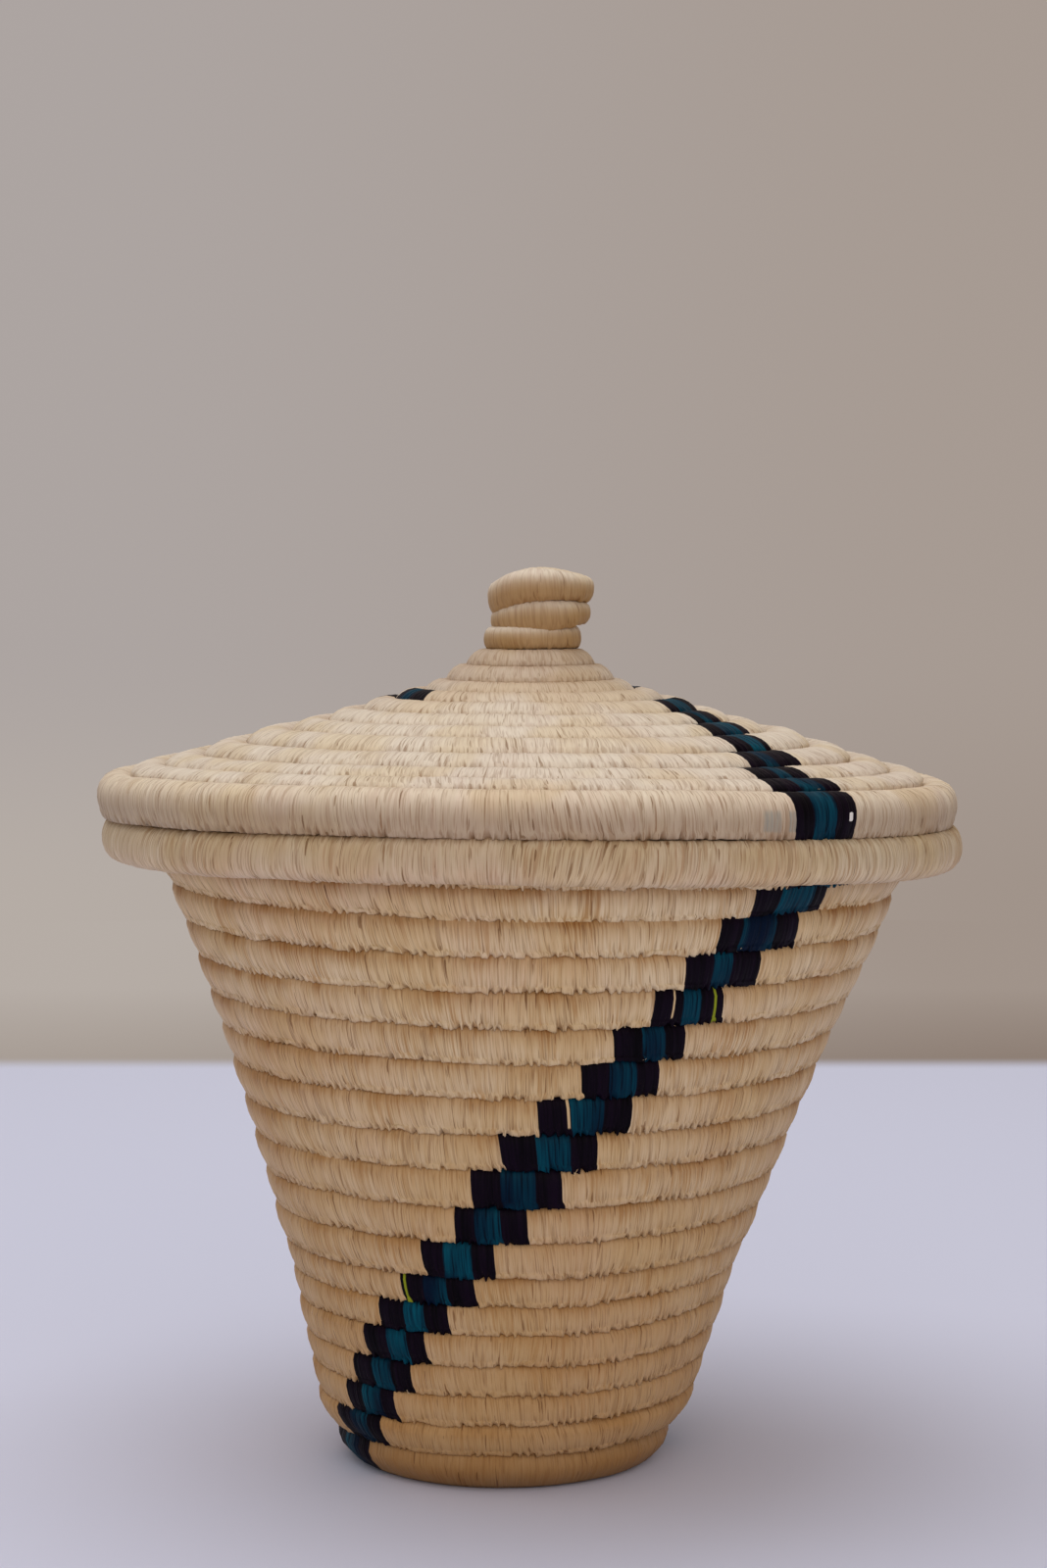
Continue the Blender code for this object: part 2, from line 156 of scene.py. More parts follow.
# Where a row shows its stripe: shares of its half thickness, outwards and upwards
WALL_STRIPE_SHARES = (0.95, 0.0)
LID_RIM_STRIPE_SHARES = (1.0, 0.0)
LID_STRIPE_SHARES = (0.7, 0.6)
# The dye's scale across a stripe: its four edges, and bare raffia on either side
DYE_EDGES = (-3.0, -1.0, 1.0, 3.0)
NO_DYE = 9.0
STRIPE_SURROUND = math.radians(20.0)
# Small marks: coil, row counted from the top of the photograph, pixels and kind
MARKS = (
    ("wall", 4, 686, 689.5, "pale"),
    ("wall", 4, 729, 732, "lime"),
    ("wall", 7, 578, 582.5, "pale"),
    ("wall", 12, 412, 415, "lime"),
    ("lid_rim", 0, 776, 797, "bleed"),
    ("lid_rim", 0, 803, 813, "bleed"),
    ("lid_rim", 0, 863.5, 869.5, "fleck"),
)

# How the handmade rows stray from even ones: stitches lap down, and rows dip to one side or both
WALL_RISE = 2.3 * MM
FOOT_TUCK = 6.4 * MM
SECOND_ROW_TUCK = 0.64 * MM
FOOT_FORWARD = 3.0 * MM
MOUTH_TUCK = 0.2 * MM
MOUTH_RISE = 1.8 * MM
MOUTH_STRETCH = 1.3 * MM
WALL_TILTS = ((0.0, 1.5, 18.0), (0.0, -1.5 * MM, 2.0 * MM))
WALL_CURVES = ((0.0, 1.5, 12.0, 17.0, 18.0), (0.0, -1.2 * MM, -1.2 * MM, -0.2 * MM, 3.0 * MM))
RIM_TILT = 1.75 * MM
RIM_CURVE = 3.75 * MM
RIM_STRETCH = 0.9 * MM
LID_DROPS = [drop * MM for drop in (1.4, 1.8, 1.3, 0.7, 0.3, 0.0, 0.0, 0.2, 0.5, 0.6, 0.7)]

# How the knob's middle and top turns stray from even ones: shifted to the right, and drooping
KNOB_MIDDLE_SHIFT = 1.3 * MM
KNOB_TOP_SHIFT = 1.5 * MM
KNOB_MIDDLE_DROOP = 2.0 * MM
KNOB_TOP_DROOPS = (2.2 * MM, 2.6 * MM)
KNOB_TOP_RISE = 0.6 * MM
KNOB_TOP_TAPER_SHARES = (0.04, 0.16, 0.12)
KNOB_MIDDLE_BULGE_SHARES = (0.2, 0.35, 0.08)

# Small whorls that close the knob's top, the lid's centre and the base: radii and row thicknesses
CROWN_RADII = (6.1 * MM, 0.9 * MM)
CROWN_THICKNESSES = (5.6 * MM, 5.0 * MM)
CROWN_DEPTH = 2.8 * MM
CROWN_DROP = 1.2 * MM
CROWN_CENTRE_RISE = 0.2 * MM
LID_CENTRE_RADII = (0.9 * MM, 5.1 * MM, 9.3 * MM)
LID_CENTRE_THICKNESS = 4.3 * MM
LID_CENTRE_DEPTH = 5.6 * MM
BUTTON_RADII = (0.9 * MM, 4.0 * MM, 6.4 * MM)
BUTTON_THICKNESSES = (3.4 * MM, 3.4 * MM, 2.8 * MM)

# A coil's ends run this far into the first and the last step, where they fill the wedge beside them
COIL_START_SHARE = 0.12
COIL_END_SHARE = 0.88
FINE_STEPS = 720
LEAST_WIDTH = 1e-6


def linear(red, green, blue):
    """A screen colour, 0 to 255 a channel, as the linear colour that Blender's sockets take."""
    return tuple((channel / 255.0) ** 2.2 for channel in (red, green, blue))


def smooth(share):
    share = np.clip(share, 0.0, 1.0)
    return share * share * (3.0 - 2.0 * share)


# Rows: radius, height, thickness along the coil's surface, shift along X

def centre_height(thickness):
    """Height of the centre line of a coil that is flattened on the table."""
    return (thickness - ROW_GAP) / 2.0 * (1.0 - 2.0 * FOOT_CUT_SHARE)


def pair_shares(shares):
    return [(first + second) / 2.0 for first, second in zip(shares, shares[1:])]


def wall_slopes():
    steps = len(WALL_ROW_SHARES) - 1
    flares = [smooth(index / (steps * WALL_FLARE_SHARE)) for index in range(steps)]
    slopes = [WALL_LOW_SLOPE + (WALL_TOP_SLOPE - WALL_LOW_SLOPE) * flare for flare in flares]
    slopes[0] = FOOT_SLOPE
    slopes[-1] = MOUTH_SLOPE
    return slopes


def wall_rows():
    climbs = zip(pair_shares(WALL_ROW_SHARES), wall_slopes())
    unit = WALL_HEIGHT / sum(pair * math.cos(slope) for pair, slope in climbs)
    foot = unit * WALL_ROW_SHARES[0]
    radius, height = FOOT_RADIUS, centre_height(foot)
    rows = [(radius, height, foot, BASE_SHIFT)]
    for pair, slope, share in zip(pair_shares(WALL_ROW_SHARES), wall_slopes(), WALL_ROW_SHARES[1:]):
        height += unit * pair * math.cos(slope)
        radius += unit * pair * math.sin(slope)
        lean = min(max(1.0 - height / LEAN_HEIGHT, 0.0), 1.0)
        shift = MOUTH_SHIFT + (BASE_SHIFT - MOUTH_SHIFT) * lean
        rows.append((radius, height, unit * share, shift))
    return rows


def shown_wall_rows():
    """The wall's rows as wrapped: raised, the foot still on the table, the last one under the rim."""
    rows = [(radius, height + WALL_RISE, thickness, shift)
            for radius, height, thickness, shift in wall_rows()]
    radius, height, thickness, shift = rows[0]
    rows[0] = (radius - FOOT_TUCK, height, thickness + WALL_RISE, shift)
    rows[1] = (rows[1][0] - SECOND_ROW_TUCK, *rows[1][1:])
    radius, height, thickness, shift = rows[-1]
    rows[-1] = (radius - MOUTH_TUCK, height + MOUTH_RISE, thickness, shift)
    return rows


def base_rows():
    foot = wall_rows()[0][2]
    inner = BUTTON_RADIUS + PIECE_GAP - ROW_GAP / 2.0
    thickness = (FOOT_RADIUS - foot / 2.0 - inner) / BASE_ROWS
    return [
        (inner + thickness * (index + 0.5), centre_height(thickness), thickness, BASE_SHIFT)
        for index in range(BASE_ROWS)
    ]


def rim_row():
    radius, height, thickness, _ = wall_rows()[-1]
    reach = (thickness - ROW_GAP) / 2.0 * FLAT_SHARE + PIECE_GAP + RIM_DIAMETER / 2.0
    radius += reach * math.cos(RIM_SLOPE)
    height += reach * math.sin(RIM_SLOPE)
    return radius, height, RIM_DIAMETER, MOUTH_SHIFT


def lid_rim_row():
    radius, height, thickness, _ = rim_row()
    radius += (thickness - LID_RIM_DIAMETER) / 2.0 - LID_RIM_SETBACK
    height += (thickness + LID_RIM_DIAMETER) / 2.0 + PIECE_GAP
    return radius, height, LID_RIM_DIAMETER, LID_SHIFT


def lid_rows():
    """Rows from the rim inwards, climbing to the knob."""
    rim_radius, rim_height, rim_thickness, _ = lid_rim_row()
    pairs = pair_shares(LID_ROW_SHARES)
    gentle = len(pairs) - len(LID_KNOB_SLOPES)
    rise = (LID_CROWN_SLOPE - LID_EDGE_SLOPE) / (gentle - 1)
    slopes = [LID_EDGE_SLOPE + rise * index for index in range(gentle)] + list(LID_KNOB_SLOPES)
    tight = (rim_thickness / 2.0 + PIECE_GAP - ROW_GAP / 2.0 * FLAT_SHARE) * math.cos(LID_RIM_SLOPE)
    shares = LID_ROW_SHARES[0] / 2.0 * FLAT_SHARE * math.cos(LID_RIM_SLOPE)
    shares += sum(pair * math.cos(slope) for pair, slope in zip(pairs, slopes))
    unit = (rim_radius - tight - KNOB_RADII[0] - KNOB_OVERHANG) / shares
    reach = rim_thickness / 2.0 + PIECE_GAP
    reach += (unit * LID_ROW_SHARES[0] - ROW_GAP) / 2.0 * FLAT_SHARE
    radius = rim_radius - reach * math.cos(LID_RIM_SLOPE)
    height = rim_height + reach * math.sin(LID_RIM_SLOPE)
    rows = [(radius, height, unit * LID_ROW_SHARES[0], LID_SHIFT)]
    for index, (pair, slope, share) in enumerate(zip(pairs, slopes, LID_ROW_SHARES[1:]), 1):
        radius -= unit * pair * math.cos(slope)
        height += unit * pair * math.sin(slope)
        rows.append((radius, height, unit * share, LID_SHIFT + LID_DRIFT * index / len(pairs)))
    return rows


def seat_rows():
    low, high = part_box("lid_seat_ring")
    half = (SEAT_ROW_THICKNESS - ROW_GAP) / 2.0
    radius = (high.y - low.y) / 2.0 - half
    top = high.z - half
    return [
        (radius, top - SEAT_ROW_THICKNESS * index, SEAT_ROW_THICKNESS, LID_SHIFT)
        for index in reversed(range(SEAT_ROWS))
    ]


def knob_rows():
    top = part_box("knob_coil")[1].z - (KNOB_THICKNESSES[-1] - ROW_GAP) / 2.0
    heights = [top]
    for upper, lower in zip(KNOB_THICKNESSES[:0:-1], KNOB_THICKNESSES[-2::-1]):
        heights.insert(0, heights[0] - (upper + lower) / 2.0)
    return list(zip(KNOB_RADII, heights, KNOB_THICKNESSES, KNOB_SHIFTS))


# Columns: a coil as a chain of strand-wide steps, each with its place, directions and sizes

def path_at(rows, turn, step_start, sweep):
    """Place in rows for each angle swept: level, then an even step to the next row at the back."""
    begin = step_start + sweep
    swept = turn - begin
    loop = np.clip(np.floor(swept / FULL_TURN), 0, len(rows) - 1)
    share = (swept - loop * FULL_TURN - FULL_TURN + sweep) / sweep
    return np.clip(loop + smooth(share), 0, len(rows) - 1)


def row_directions(rows):
    """Angle above the horizontal, outwards, of the way from each row to the next one."""
    radius, height, _, _ = (np.array(values) for values in zip(*rows))
    steps = np.arctan2(np.diff(height), np.diff(radius))
    steps = np.unwrap(steps)
    return np.concatenate([steps[:1], (steps[1:] + steps[:-1]) / 2.0, steps[-1:]])


def columns_of(rows, width, step_start=STEP_START, sweep=STEP_SWEEP, facing=None, closed=False):
    """The values of every column of a coil, at an even spacing of about width."""
    radius, height, thickness, shift = (np.array(values) for values in zip(*rows))
    index = np.arange(len(rows))
    if closed:
        first, last = math.pi / 2.0, math.pi / 2.0 + FULL_TURN
    else:
        first = step_start + COIL_START_SHARE * sweep
        last = step_start + FULL_TURN * len(rows) + COIL_END_SHARE * sweep
    fine = np.linspace(first, last, FINE_STEPS * len(rows) + 1)
    place = np.zeros_like(fine) if closed else path_at(rows, fine, step_start, sweep)
    around = np.interp(place, index, radius)
    run = np.concatenate([[0.0], np.cumsum(np.diff(fine) * (around[1:] + around[:-1]) / 2.0)])
    count = int(round(run[-1] / width))
    spaced = np.linspace(0.0, run[-1], count + 1)
    if closed:
        spaced = spaced[:-1]
    turn = np.interp(spaced, run, fine)
    place = np.zeros_like(turn) if closed else path_at(rows, turn, step_start, sweep)
    angle = np.full_like(turn, facing) if facing is not None else np.interp(
        place, index, row_directions(rows))
    radial = np.stack([np.cos(turn), np.sin(turn), np.zeros_like(turn)], axis=1)
    up = np.array([0.0, 0.0, 1.0])
    follow = np.cos(angle)[:, None] * radial + np.sin(angle)[:, None] * up
    out = np.sin(angle)[:, None] * radial - np.cos(angle)[:, None] * up
    centre = radial * np.interp(place, index, radius)[:, None]
    centre[:, 0] += np.interp(place, index, shift)
    centre[:, 2] = np.interp(place, index, height)
    half = np.interp(place, index, thickness) / 2.0
    ends = np.ones_like(turn)
    if not closed:
        grown = smooth((turn - step_start) / sweep)
        spent = smooth((turn - step_start - FULL_TURN * len(rows)) / sweep)
        centre += follow * (half * (grown - 1.0 + spent))[:, None]
        ends = np.minimum(grown, 1.0 - spent)
    return {
        "centre": centre,
        "out": out,
        "follow": follow,
        "along": np.stack([-radial[:, 1], radial[:, 0], radial[:, 2]], axis=1),
        "half": half * ends,
        "thick": half * np.sqrt(ends),
        "run": spaced,
        "turn": turn,
        "place": place,
    }


def cut_columns(columns, start, end):
    return {key: values[start:end] for key, values in columns.items()}


def dip(columns, side, tilt, curve, stretch=0.0):
    """Lowers a coil to the right by tilt and to both sides by curve, and widens it by stretch."""
    columns["centre"][:, 2] -= tilt * side + curve * side ** 2
    columns["centre"][:, 0] += stretch * side
    return columns


def photo_turn(pixels, radius, height, shift):
    """The angle, on the front of a row, that a pixel column of the photograph looks at."""
    drop = (EYE_HEIGHT - height) * math.sin(VIEW_TILT)
    bearing = np.zeros_like(np.asarray(pixels, float))
    for _ in range(SIGHT_PASSES):
        depth = (VIEW_DISTANCE - radius * np.cos(bearing)) * math.cos(VIEW_TILT) + drop
        side = (pixels - CENTRE_PIXELS[0]) * depth / FOCAL_PIXELS + EYE_SHIFT - shift
        bearing = np.arcsin(np.clip(side / radius, -GREATEST_SINE, GREATEST_SINE))
    return bearing - math.pi / 2.0


def stripe_turns(rows, pixel_rows, seen_shares):
    """Turn angles of a stripe's four edges on each row; rows and pixel rows are in one order."""
    found = []
    for (radius, height, thickness, shift), pixels in zip(rows, pixel_rows):
        lift_out = thickness / 2.0 * seen_shares[0]
        lift_up = thickness / 2.0 * seen_shares[1]
        found.append(photo_turn(np.array(pixels, float), radius + lift_out, height + lift_up, shift))
    return np.array(found)


def dye_coordinate(turn, place, edges, behind=0.0):
    """The dye's scale across the nearer stripe; the one at the back is turned by behind."""
    index = np.arange(len(edges))
    lines = [np.interp(place, index, edges[:, column]) for column in range(4)]
    middle = (lines[0] + lines[3]) / 2.0
    turn = turn - behind * (np.cos(turn - middle) < 0.0)
    offset = (turn - middle + math.pi / 2.0) % math.pi - math.pi / 2.0
    near = [line - middle for line in lines]
    points = [near[0] - STRIPE_SURROUND, *near, near[3] + STRIPE_SURROUND]
    marks = [-NO_DYE, *DYE_EDGES, NO_DYE]
    value = np.full_like(turn, NO_DYE)
    value[offset < points[0]] = -NO_DYE
    for low, high, start, end in zip(points, points[1:], marks, marks[1:]):
        inside = (offset >= low) & (offset < high)
        share = (offset - low) / np.maximum(high - low, LEAST_WIDTH)
        value[inside] = (start + (end - start) * share)[inside]
    return value


def mark_values(columns, coil, kind, rows, row_of):
    """1 in the middle of each small mark of a kind, falling to 0 at its edges and beyond."""
    value = np.zeros_like(columns["turn"])
    for name, row, left, right, what in MARKS:
        if name != coil or what != kind:
            continue
        radius, height, thickness, shift = rows[row_of(row)]
        outer = radius + thickness / 2.0
        start, end = photo_turn(np.array([left, right], float), outer, height, shift)
        offset = (columns["turn"] - (start + end) / 2.0 + math.pi) % FULL_TURN - math.pi
        near = np.abs(columns["place"] - row_of(row)) < 0.5
        tent = 1.0 - np.abs(offset) / max((end - start) / 2.0, LEAST_WIDTH)
        value = np.maximum(value, np.where(near, np.clip(tent, 0.0, 1.0), 0.0))
    return value


# Node trees: arithmetic on a Flow adds the nodes that work it out

class Flow:
    """A socket of a node tree that can be used in sums."""

    def __init__(self, tree, socket):
        self.tree = tree
        self.socket = socket

    def is_vector(self):
        return self.socket.type == "VECTOR"

    def join(self, operation, *values):
        others = [value for value in values if isinstance(value, Flow)]
        vector = self.is_vector() or any(value.is_vector() for value in others)
        kind = "ShaderNodeVectorMath" if vector else "ShaderNodeMath"
        node = self.tree.nodes.new(kind)
        node.operation = operation
        for socket, value in zip(node.inputs, (self, *values)):
            feed(self.tree, socket, value)
        return Flow(self.tree, node.outputs[0])

    def __add__(self, other):
        return self.join("ADD", other)

    def __sub__(self, other):
        return self.join("SUBTRACT", other)

    def __rsub__(self, other):
        return fixed(self.tree, other).join("SUBTRACT", self)

    def __mul__(self, other):
        if not self.is_vector():
            return other.__mul__(self) if isinstance(other, Flow) and other.is_vector() else (
                self.join("MULTIPLY", other))
        node = self.tree.nodes.new("ShaderNodeVectorMath")
        node.operation = "SCALE"
        feed(self.tree, node.inputs[0], self)
        feed(self.tree, node.inputs["Scale"], other)
        return Flow(self.tree, node.outputs[0])

    def __truediv__(self, other):
        return self.join("DIVIDE", other)

    __radd__ = __add__
    __rmul__ = __mul__


def feed(tree, socket, value):
    if isinstance(value, Flow):
        tree.links.new(value.socket, socket)
    elif value is not None:
        socket.default_value = value


def add_node(tree, kind, inputs=None, **settings):
    node = tree.nodes.new(kind)
    for key, value in settings.items():
        setattr(node, key, value)
    for key, value in (inputs or {}).items():
        feed(tree, node.inputs[key], value)
    return node


def result(tree, kind, output, inputs=None, **settings):
    return Flow(tree, add_node(tree, kind, inputs, **settings).outputs[output])


def fixed(tree, number):
    node = tree.nodes.new("ShaderNodeValue")
    node.outputs[0].default_value = number
    return Flow(tree, node.outputs[0])


def mixed(low, high, share):
    return low + (high - low) * share


def ramp(flow, low, high, start=0.0, end=1.0, shape="SMOOTHSTEP"):
    values = {"Value": flow, "From Min": low, "From Max": high, "To Min": start, "To Max": end}
    return result(flow.tree, "ShaderNodeMapRange", "Result", values, interpolation_type=shape)


def noise(place, scale, shift=0.0, detail=2.0):
    """Noise of mean 0.5 at a vector, or at a number along a line."""
    tree = place.tree
    if place.is_vector():
        values = {"Vector": place + (shift, shift, shift), "Scale": scale}
        dimensions = "3D"
    else:
        values = {"W": place + shift, "Scale": scale}
        dimensions = "1D"
    values["Detail"] = detail
    return result(tree, "ShaderNodeTexNoise", 0, values, noise_dimensions=dimensions)


def either_way(share):
    """A value of mean 0.5 as one that strays both ways from 0."""
    return (share - 0.5) * 2.0


def split(vector):
    node = add_node(vector.tree, "ShaderNodeSeparateXYZ", {0: vector})
    return [Flow(vector.tree, socket) for socket in node.outputs]


def merge(tree, x, y, z):
    return result(tree, "ShaderNodeCombineXYZ", 0, {0: x, 1: y, 2: z})


def new_tree(name, kind, inputs, outputs):
    """A node group with its named sockets; gives the tree, its inputs as Flows and its output node."""
    tree = bpy.data.node_groups.new(name, kind)
    for socket_name, socket_kind, default in inputs:
        socket = tree.interface.new_socket(socket_name, in_out="INPUT", socket_type=socket_kind)
        if default is not None:
            socket.default_value = default
    for socket_name, socket_kind in outputs:
        tree.interface.new_socket(socket_name, in_out="OUTPUT", socket_type=socket_kind)
    start = tree.nodes.new("NodeGroupInput")
    given = {name: Flow(tree, start.outputs[name]) for name, _, _ in inputs}
    return tree, given, tree.nodes.new("NodeGroupOutput")


GEOMETRY = "NodeSocketGeometry"
FLOAT = "NodeSocketFloat"
INTEGER = "NodeSocketInt"
VECTOR = "NodeSocketVector"
COLOUR = "NodeSocketColor"
MATERIAL = "NodeSocketMaterial"


def captured(tree, geometry, **fields):
    """Keeps fields on a geometry's points; gives the geometry and the kept values."""
    node = tree.nodes.new("GeometryNodeCaptureAttribute")
    feed(tree, node.inputs["Geometry"], geometry)
    kept = []
    for name, (kind, value) in fields.items():
        node.capture_items.new(kind, name)
        feed(tree, node.inputs[name], value)
        kept.append(Flow(tree, node.outputs[name]))
    return [Flow(tree, node.outputs["Geometry"])] + kept


def attribute(tree, name, kind="FLOAT"):
    return result(tree, "GeometryNodeInputNamedAttribute", 0, {"Name": name}, data_type=kind)


def stored(tree, geometry, name, value, kind="FLOAT"):
    values = {"Geometry": geometry, "Name": name, "Value": value}
    return result(tree, "GeometryNodeStoreNamedAttribute", 0, values, data_type=kind, domain="POINT")


def random_at(tree, number, seed):
    """An even random number from 0 to 1 for each whole number."""
    node = add_node(tree, "FunctionNodeRandomValue", {7: number, 8: seed}, data_type="FLOAT")
    return Flow(tree, node.outputs[1])


# How wraps lie on a coil. Angles run round its section, from the side that faces out, at 0, to the side
# that the stitches go into, at a quarter turn. Shares are of the coil's half width and half thickness.
CROWDED_ANGLE = math.radians(50.0)
CROWDING_SHARE = 0.42
HIDDEN_SQUARENESS = 0.95
SQUARE_RANGE = (-0.3, 0.4)
STITCH_BEGIN = (math.radians(22.0), math.radians(48.0))
STITCH_GLIDE = (math.radians(25.0), math.radians(90.0))
STITCH_END = (math.radians(97.0), math.radians(132.0))
STITCH_BEGIN_OUT_SHARE = 0.945
STITCH_BEGIN_TOWARD_SHARE = 0.53
STITCH_DRIFT = 1.6
REACH_CHANCE = 0.9
REACH_WAVE = 2.6
REACH_LOSS = 0.2
CALM_RANGE = (0.35, 0.65)
CALM_REACH_SHARE = 0.35
GROOVE_SIDES = (0.34, 0.5)
GROOVE_CHANCE = (0.4, 0.95)
PINCH_BEGIN = (math.radians(15.0), math.radians(85.0))
PINCH_SHARE = 0.45
PINCH_CHANCE = 0.3
RIBBON_WIDTH = 1.7 * MM
RIBBON_DRIFT = 2.0
RIBBON_RELIEF = 1.2
RELIEF_RANGE = (-0.4, 0.3, 0.35, 1.0)
UPRIGHT_LEAN = 0.38
LEAN_GAIN = 3.0
# Noise along the coils: waves a metre, and where on the noise each use starts, so that none agree
WAVES = {
    "drift": (90.0, 0.0),
    "calm": (38.0, 7.0),
    "reach": (75.0, 31.0),
    "swell": (46.0, 3.0),
    "ribbon": (160.0, 0.0),
    "stir": (21.0, 0.0),
    "lean": (24.0, 11.0),
    "frayed": (30.0, 19.0),
}
# Added to the seed, so that each use draws its own numbers
SEEDS = {"pull": 11, "fray": 17, "strand": 3, "ribbon": 5}


def wrap_tree():
    """Sweeps a wrapped surface along a chain of columns. Stitches bridge to the row beside it."""
    tree, given, end = new_tree("wrapped_coil", "GeometryNodeTree", (
        ("Geometry", GEOMETRY, None), ("Points Around", INTEGER, 16), ("Winding", FLOAT, 1.0),
        ("Squareness", FLOAT, 0.7), ("Overlap", FLOAT, 1.1), ("Stitch Width", FLOAT, 2.4 * MM),
        ("Stitch Reach", FLOAT, 1.1 * MM), ("Stitch Cover", FLOAT, 1.0), ("Stitch Edge", FLOAT, 0.89),
        ("Fray", FLOAT, 0.55 * MM), ("Relief", FLOAT, 0.15 * MM), ("Lump", FLOAT, 0.035),
        ("Wobble", FLOAT, 1.5 * MM), ("Slant", FLOAT, 1.5 * MM), ("Seed", INTEGER, 4),
        ("Material", MATERIAL, None), ("Dyed Material", MATERIAL, None),
    ), (("Geometry", GEOMETRY),))
    index = result(tree, "GeometryNodeInputIndex", 0)
    circle = result(tree, "GeometryNodeCurvePrimitiveCircle", 0, {"Resolution": given["Points Around"]})
    circle, spoke = captured(tree, circle, spoke=("FLOAT", index))
    curve = result(tree, "GeometryNodeMeshToCurve", 0, {"Mesh": given["Geometry"]})
    position = result(tree, "GeometryNodeInputPosition", 0)
    curve, centre, column = captured(tree, curve, centre=("VECTOR", position), column=("FLOAT", index))
    mesh = result(tree, "GeometryNodeCurveToMesh", 0, {
        "Curve": curve, "Profile Curve": circle, "Fill Caps": True})

    # Angle round the section: 0 faces out, a quarter turn faces the row that the stitches go into
    even = spoke / given["Points Around"] * given["Winding"] * FULL_TURN
    crowded = even - (even - CROWDED_ANGLE).join("SINE") * CROWDING_SHARE
    sine, cosine = crowded.join("SINE"), crowded.join("COSINE")
    angle = sine.join("ARCTAN2", cosine)
    power = mixed(HIDDEN_SQUARENESS, given["Squareness"], ramp(cosine, *SQUARE_RANGE))
    across = sine.join("ABSOLUTE").join("POWER", power) * sine.join("SIGN")
    level = cosine.join("ABSOLUTE").join("POWER", power) * cosine.join("SIGN")

    run, half, thick = (attribute(tree, name) for name in ("run", "half", "thick"))
    out, toward, along = (
        attribute(tree, name, "FLOAT_VECTOR") for name in ("out", "toward", "along"))

    # Stitches, each a bundle of strands drawn together
    cell = run / given["Stitch Width"] + noise(run, *WAVES["drift"]) * STITCH_DRIFT
    number = cell.join("FLOOR")
    side = cell.join("FRACT") - 0.5
    chance = random_at(tree, number, given["Seed"])
    depth = random_at(tree, number + 0.5, given["Seed"])
    pull = random_at(tree, number, given["Seed"] + SEEDS["pull"])
    calm = ramp(noise(run, *WAVES["calm"]), *CALM_RANGE)
    fray = (random_at(tree, column, given["Seed"] + SEEDS["fray"]) - 0.5) * given["Fray"]
    wave = (noise(run, *WAVES["reach"]) - 0.5) * REACH_WAVE
    reach = given["Stitch Reach"] * (chance * REACH_CHANCE + wave - REACH_LOSS)
    reach = reach * mixed(CALM_REACH_SHARE, 1.0, calm) + fray
    ridge = 1.0 - ramp(side.join("ABSOLUTE"), *GROOVE_SIDES) * ramp(depth, *GROOVE_CHANCE)
    lower = ramp(angle, *STITCH_BEGIN)
    past = ramp(angle, *STITCH_END)
    bridge = lower * (1.0 - past) * given["Stitch Cover"] * ridge
    glide = ramp(angle, *STITCH_GLIDE, shape="LINEAR")
    far_out = thick * mixed(STITCH_BEGIN_OUT_SHARE, given["Stitch Edge"], glide)
    far_toward = half * mixed(STITCH_BEGIN_TOWARD_SHARE, 1.0, glide) + reach * glide

    # Strands, ribbons and lumps
    swell = either_way(noise(run, *WAVES["swell"], detail=1.0)) * given["Lump"] + 1.0
    ribbon = (run / RIBBON_WIDTH + noise(run, *WAVES["ribbon"]) * RIBBON_DRIFT).join("FLOOR")
    bump = (random_at(tree, ribbon, given["Seed"] + SEEDS["ribbon"]) - 0.5) * RIBBON_RELIEF
    bump = bump + (random_at(tree, column, given["Seed"] + SEEDS["strand"]) - 0.5)
    bump = bump * given["Relief"] * ramp(cosine, *RELIEF_RANGE)
    move_out = mixed(level * thick, far_out, bridge) * swell + cosine * bump
    move_toward = mixed(across * half * given["Overlap"], far_toward, bridge) + sine * bump
    stir = either_way(noise(centre, *WAVES["stir"], detail=1.0)) * given["Wobble"]
    pinch = side * given["Stitch Width"] * (-PINCH_SHARE - pull * PINCH_CHANCE) * given["Stitch Cover"]
    pinch = pinch * ramp(angle, *PINCH_BEGIN) * (1.0 - past)
    lean = (noise(run, *WAVES["lean"]) - UPRIGHT_LEAN) * given["Slant"] * sine * LEAN_GAIN
    place = centre + out * move_out + toward * (move_toward + stir) + along * (pinch + lean)
    parts = split(place)
    place = merge(tree, parts[0], parts[1], parts[2].join("MAXIMUM", 0.0))

    mesh = result(tree, "GeometryNodeSetPosition", 0, {"Geometry": mesh, "Position": place})
    mesh = result(tree, "GeometryNodeFlipFaces", 0, {"Mesh": mesh})
    mesh = stored(tree, mesh, "lay", merge(tree, run, sine, cosine), "FLOAT_VECTOR")
    # The notches between stitches, kept for their painted shade
    mesh = stored(tree, mesh, "hollow", lower * (1.0 - ridge) * given["Stitch Cover"])
    for name in ("run", "half", "thick", "out", "along"):
        mesh = result(tree, "GeometryNodeRemoveAttribute", 0, {"Geometry": mesh, "Name": name})
    mesh = result(tree, "GeometryNodeSetShadeSmooth", 0, {"Geometry": mesh})
    mesh = result(tree, "GeometryNodeRealizeInstances", 0, {"Geometry": mesh})
    mesh = result(tree, "GeometryNodeSetMaterial", 0, {
        "Geometry": mesh, "Material": given["Material"]})
    mesh, from_stripe = captured(
        tree, mesh, from_stripe=("FLOAT", attribute(tree, "dye").join("ABSOLUTE")))
    mesh = result(tree, "GeometryNodeSetMaterial", 0, {
        "Geometry": mesh, "Selection": from_stripe.join("LESS_THAN", DYE_EDGES[-1]),
        "Material": given["Dyed Material"]})
    feed(tree, end.inputs["Geometry"], mesh)
    return tree


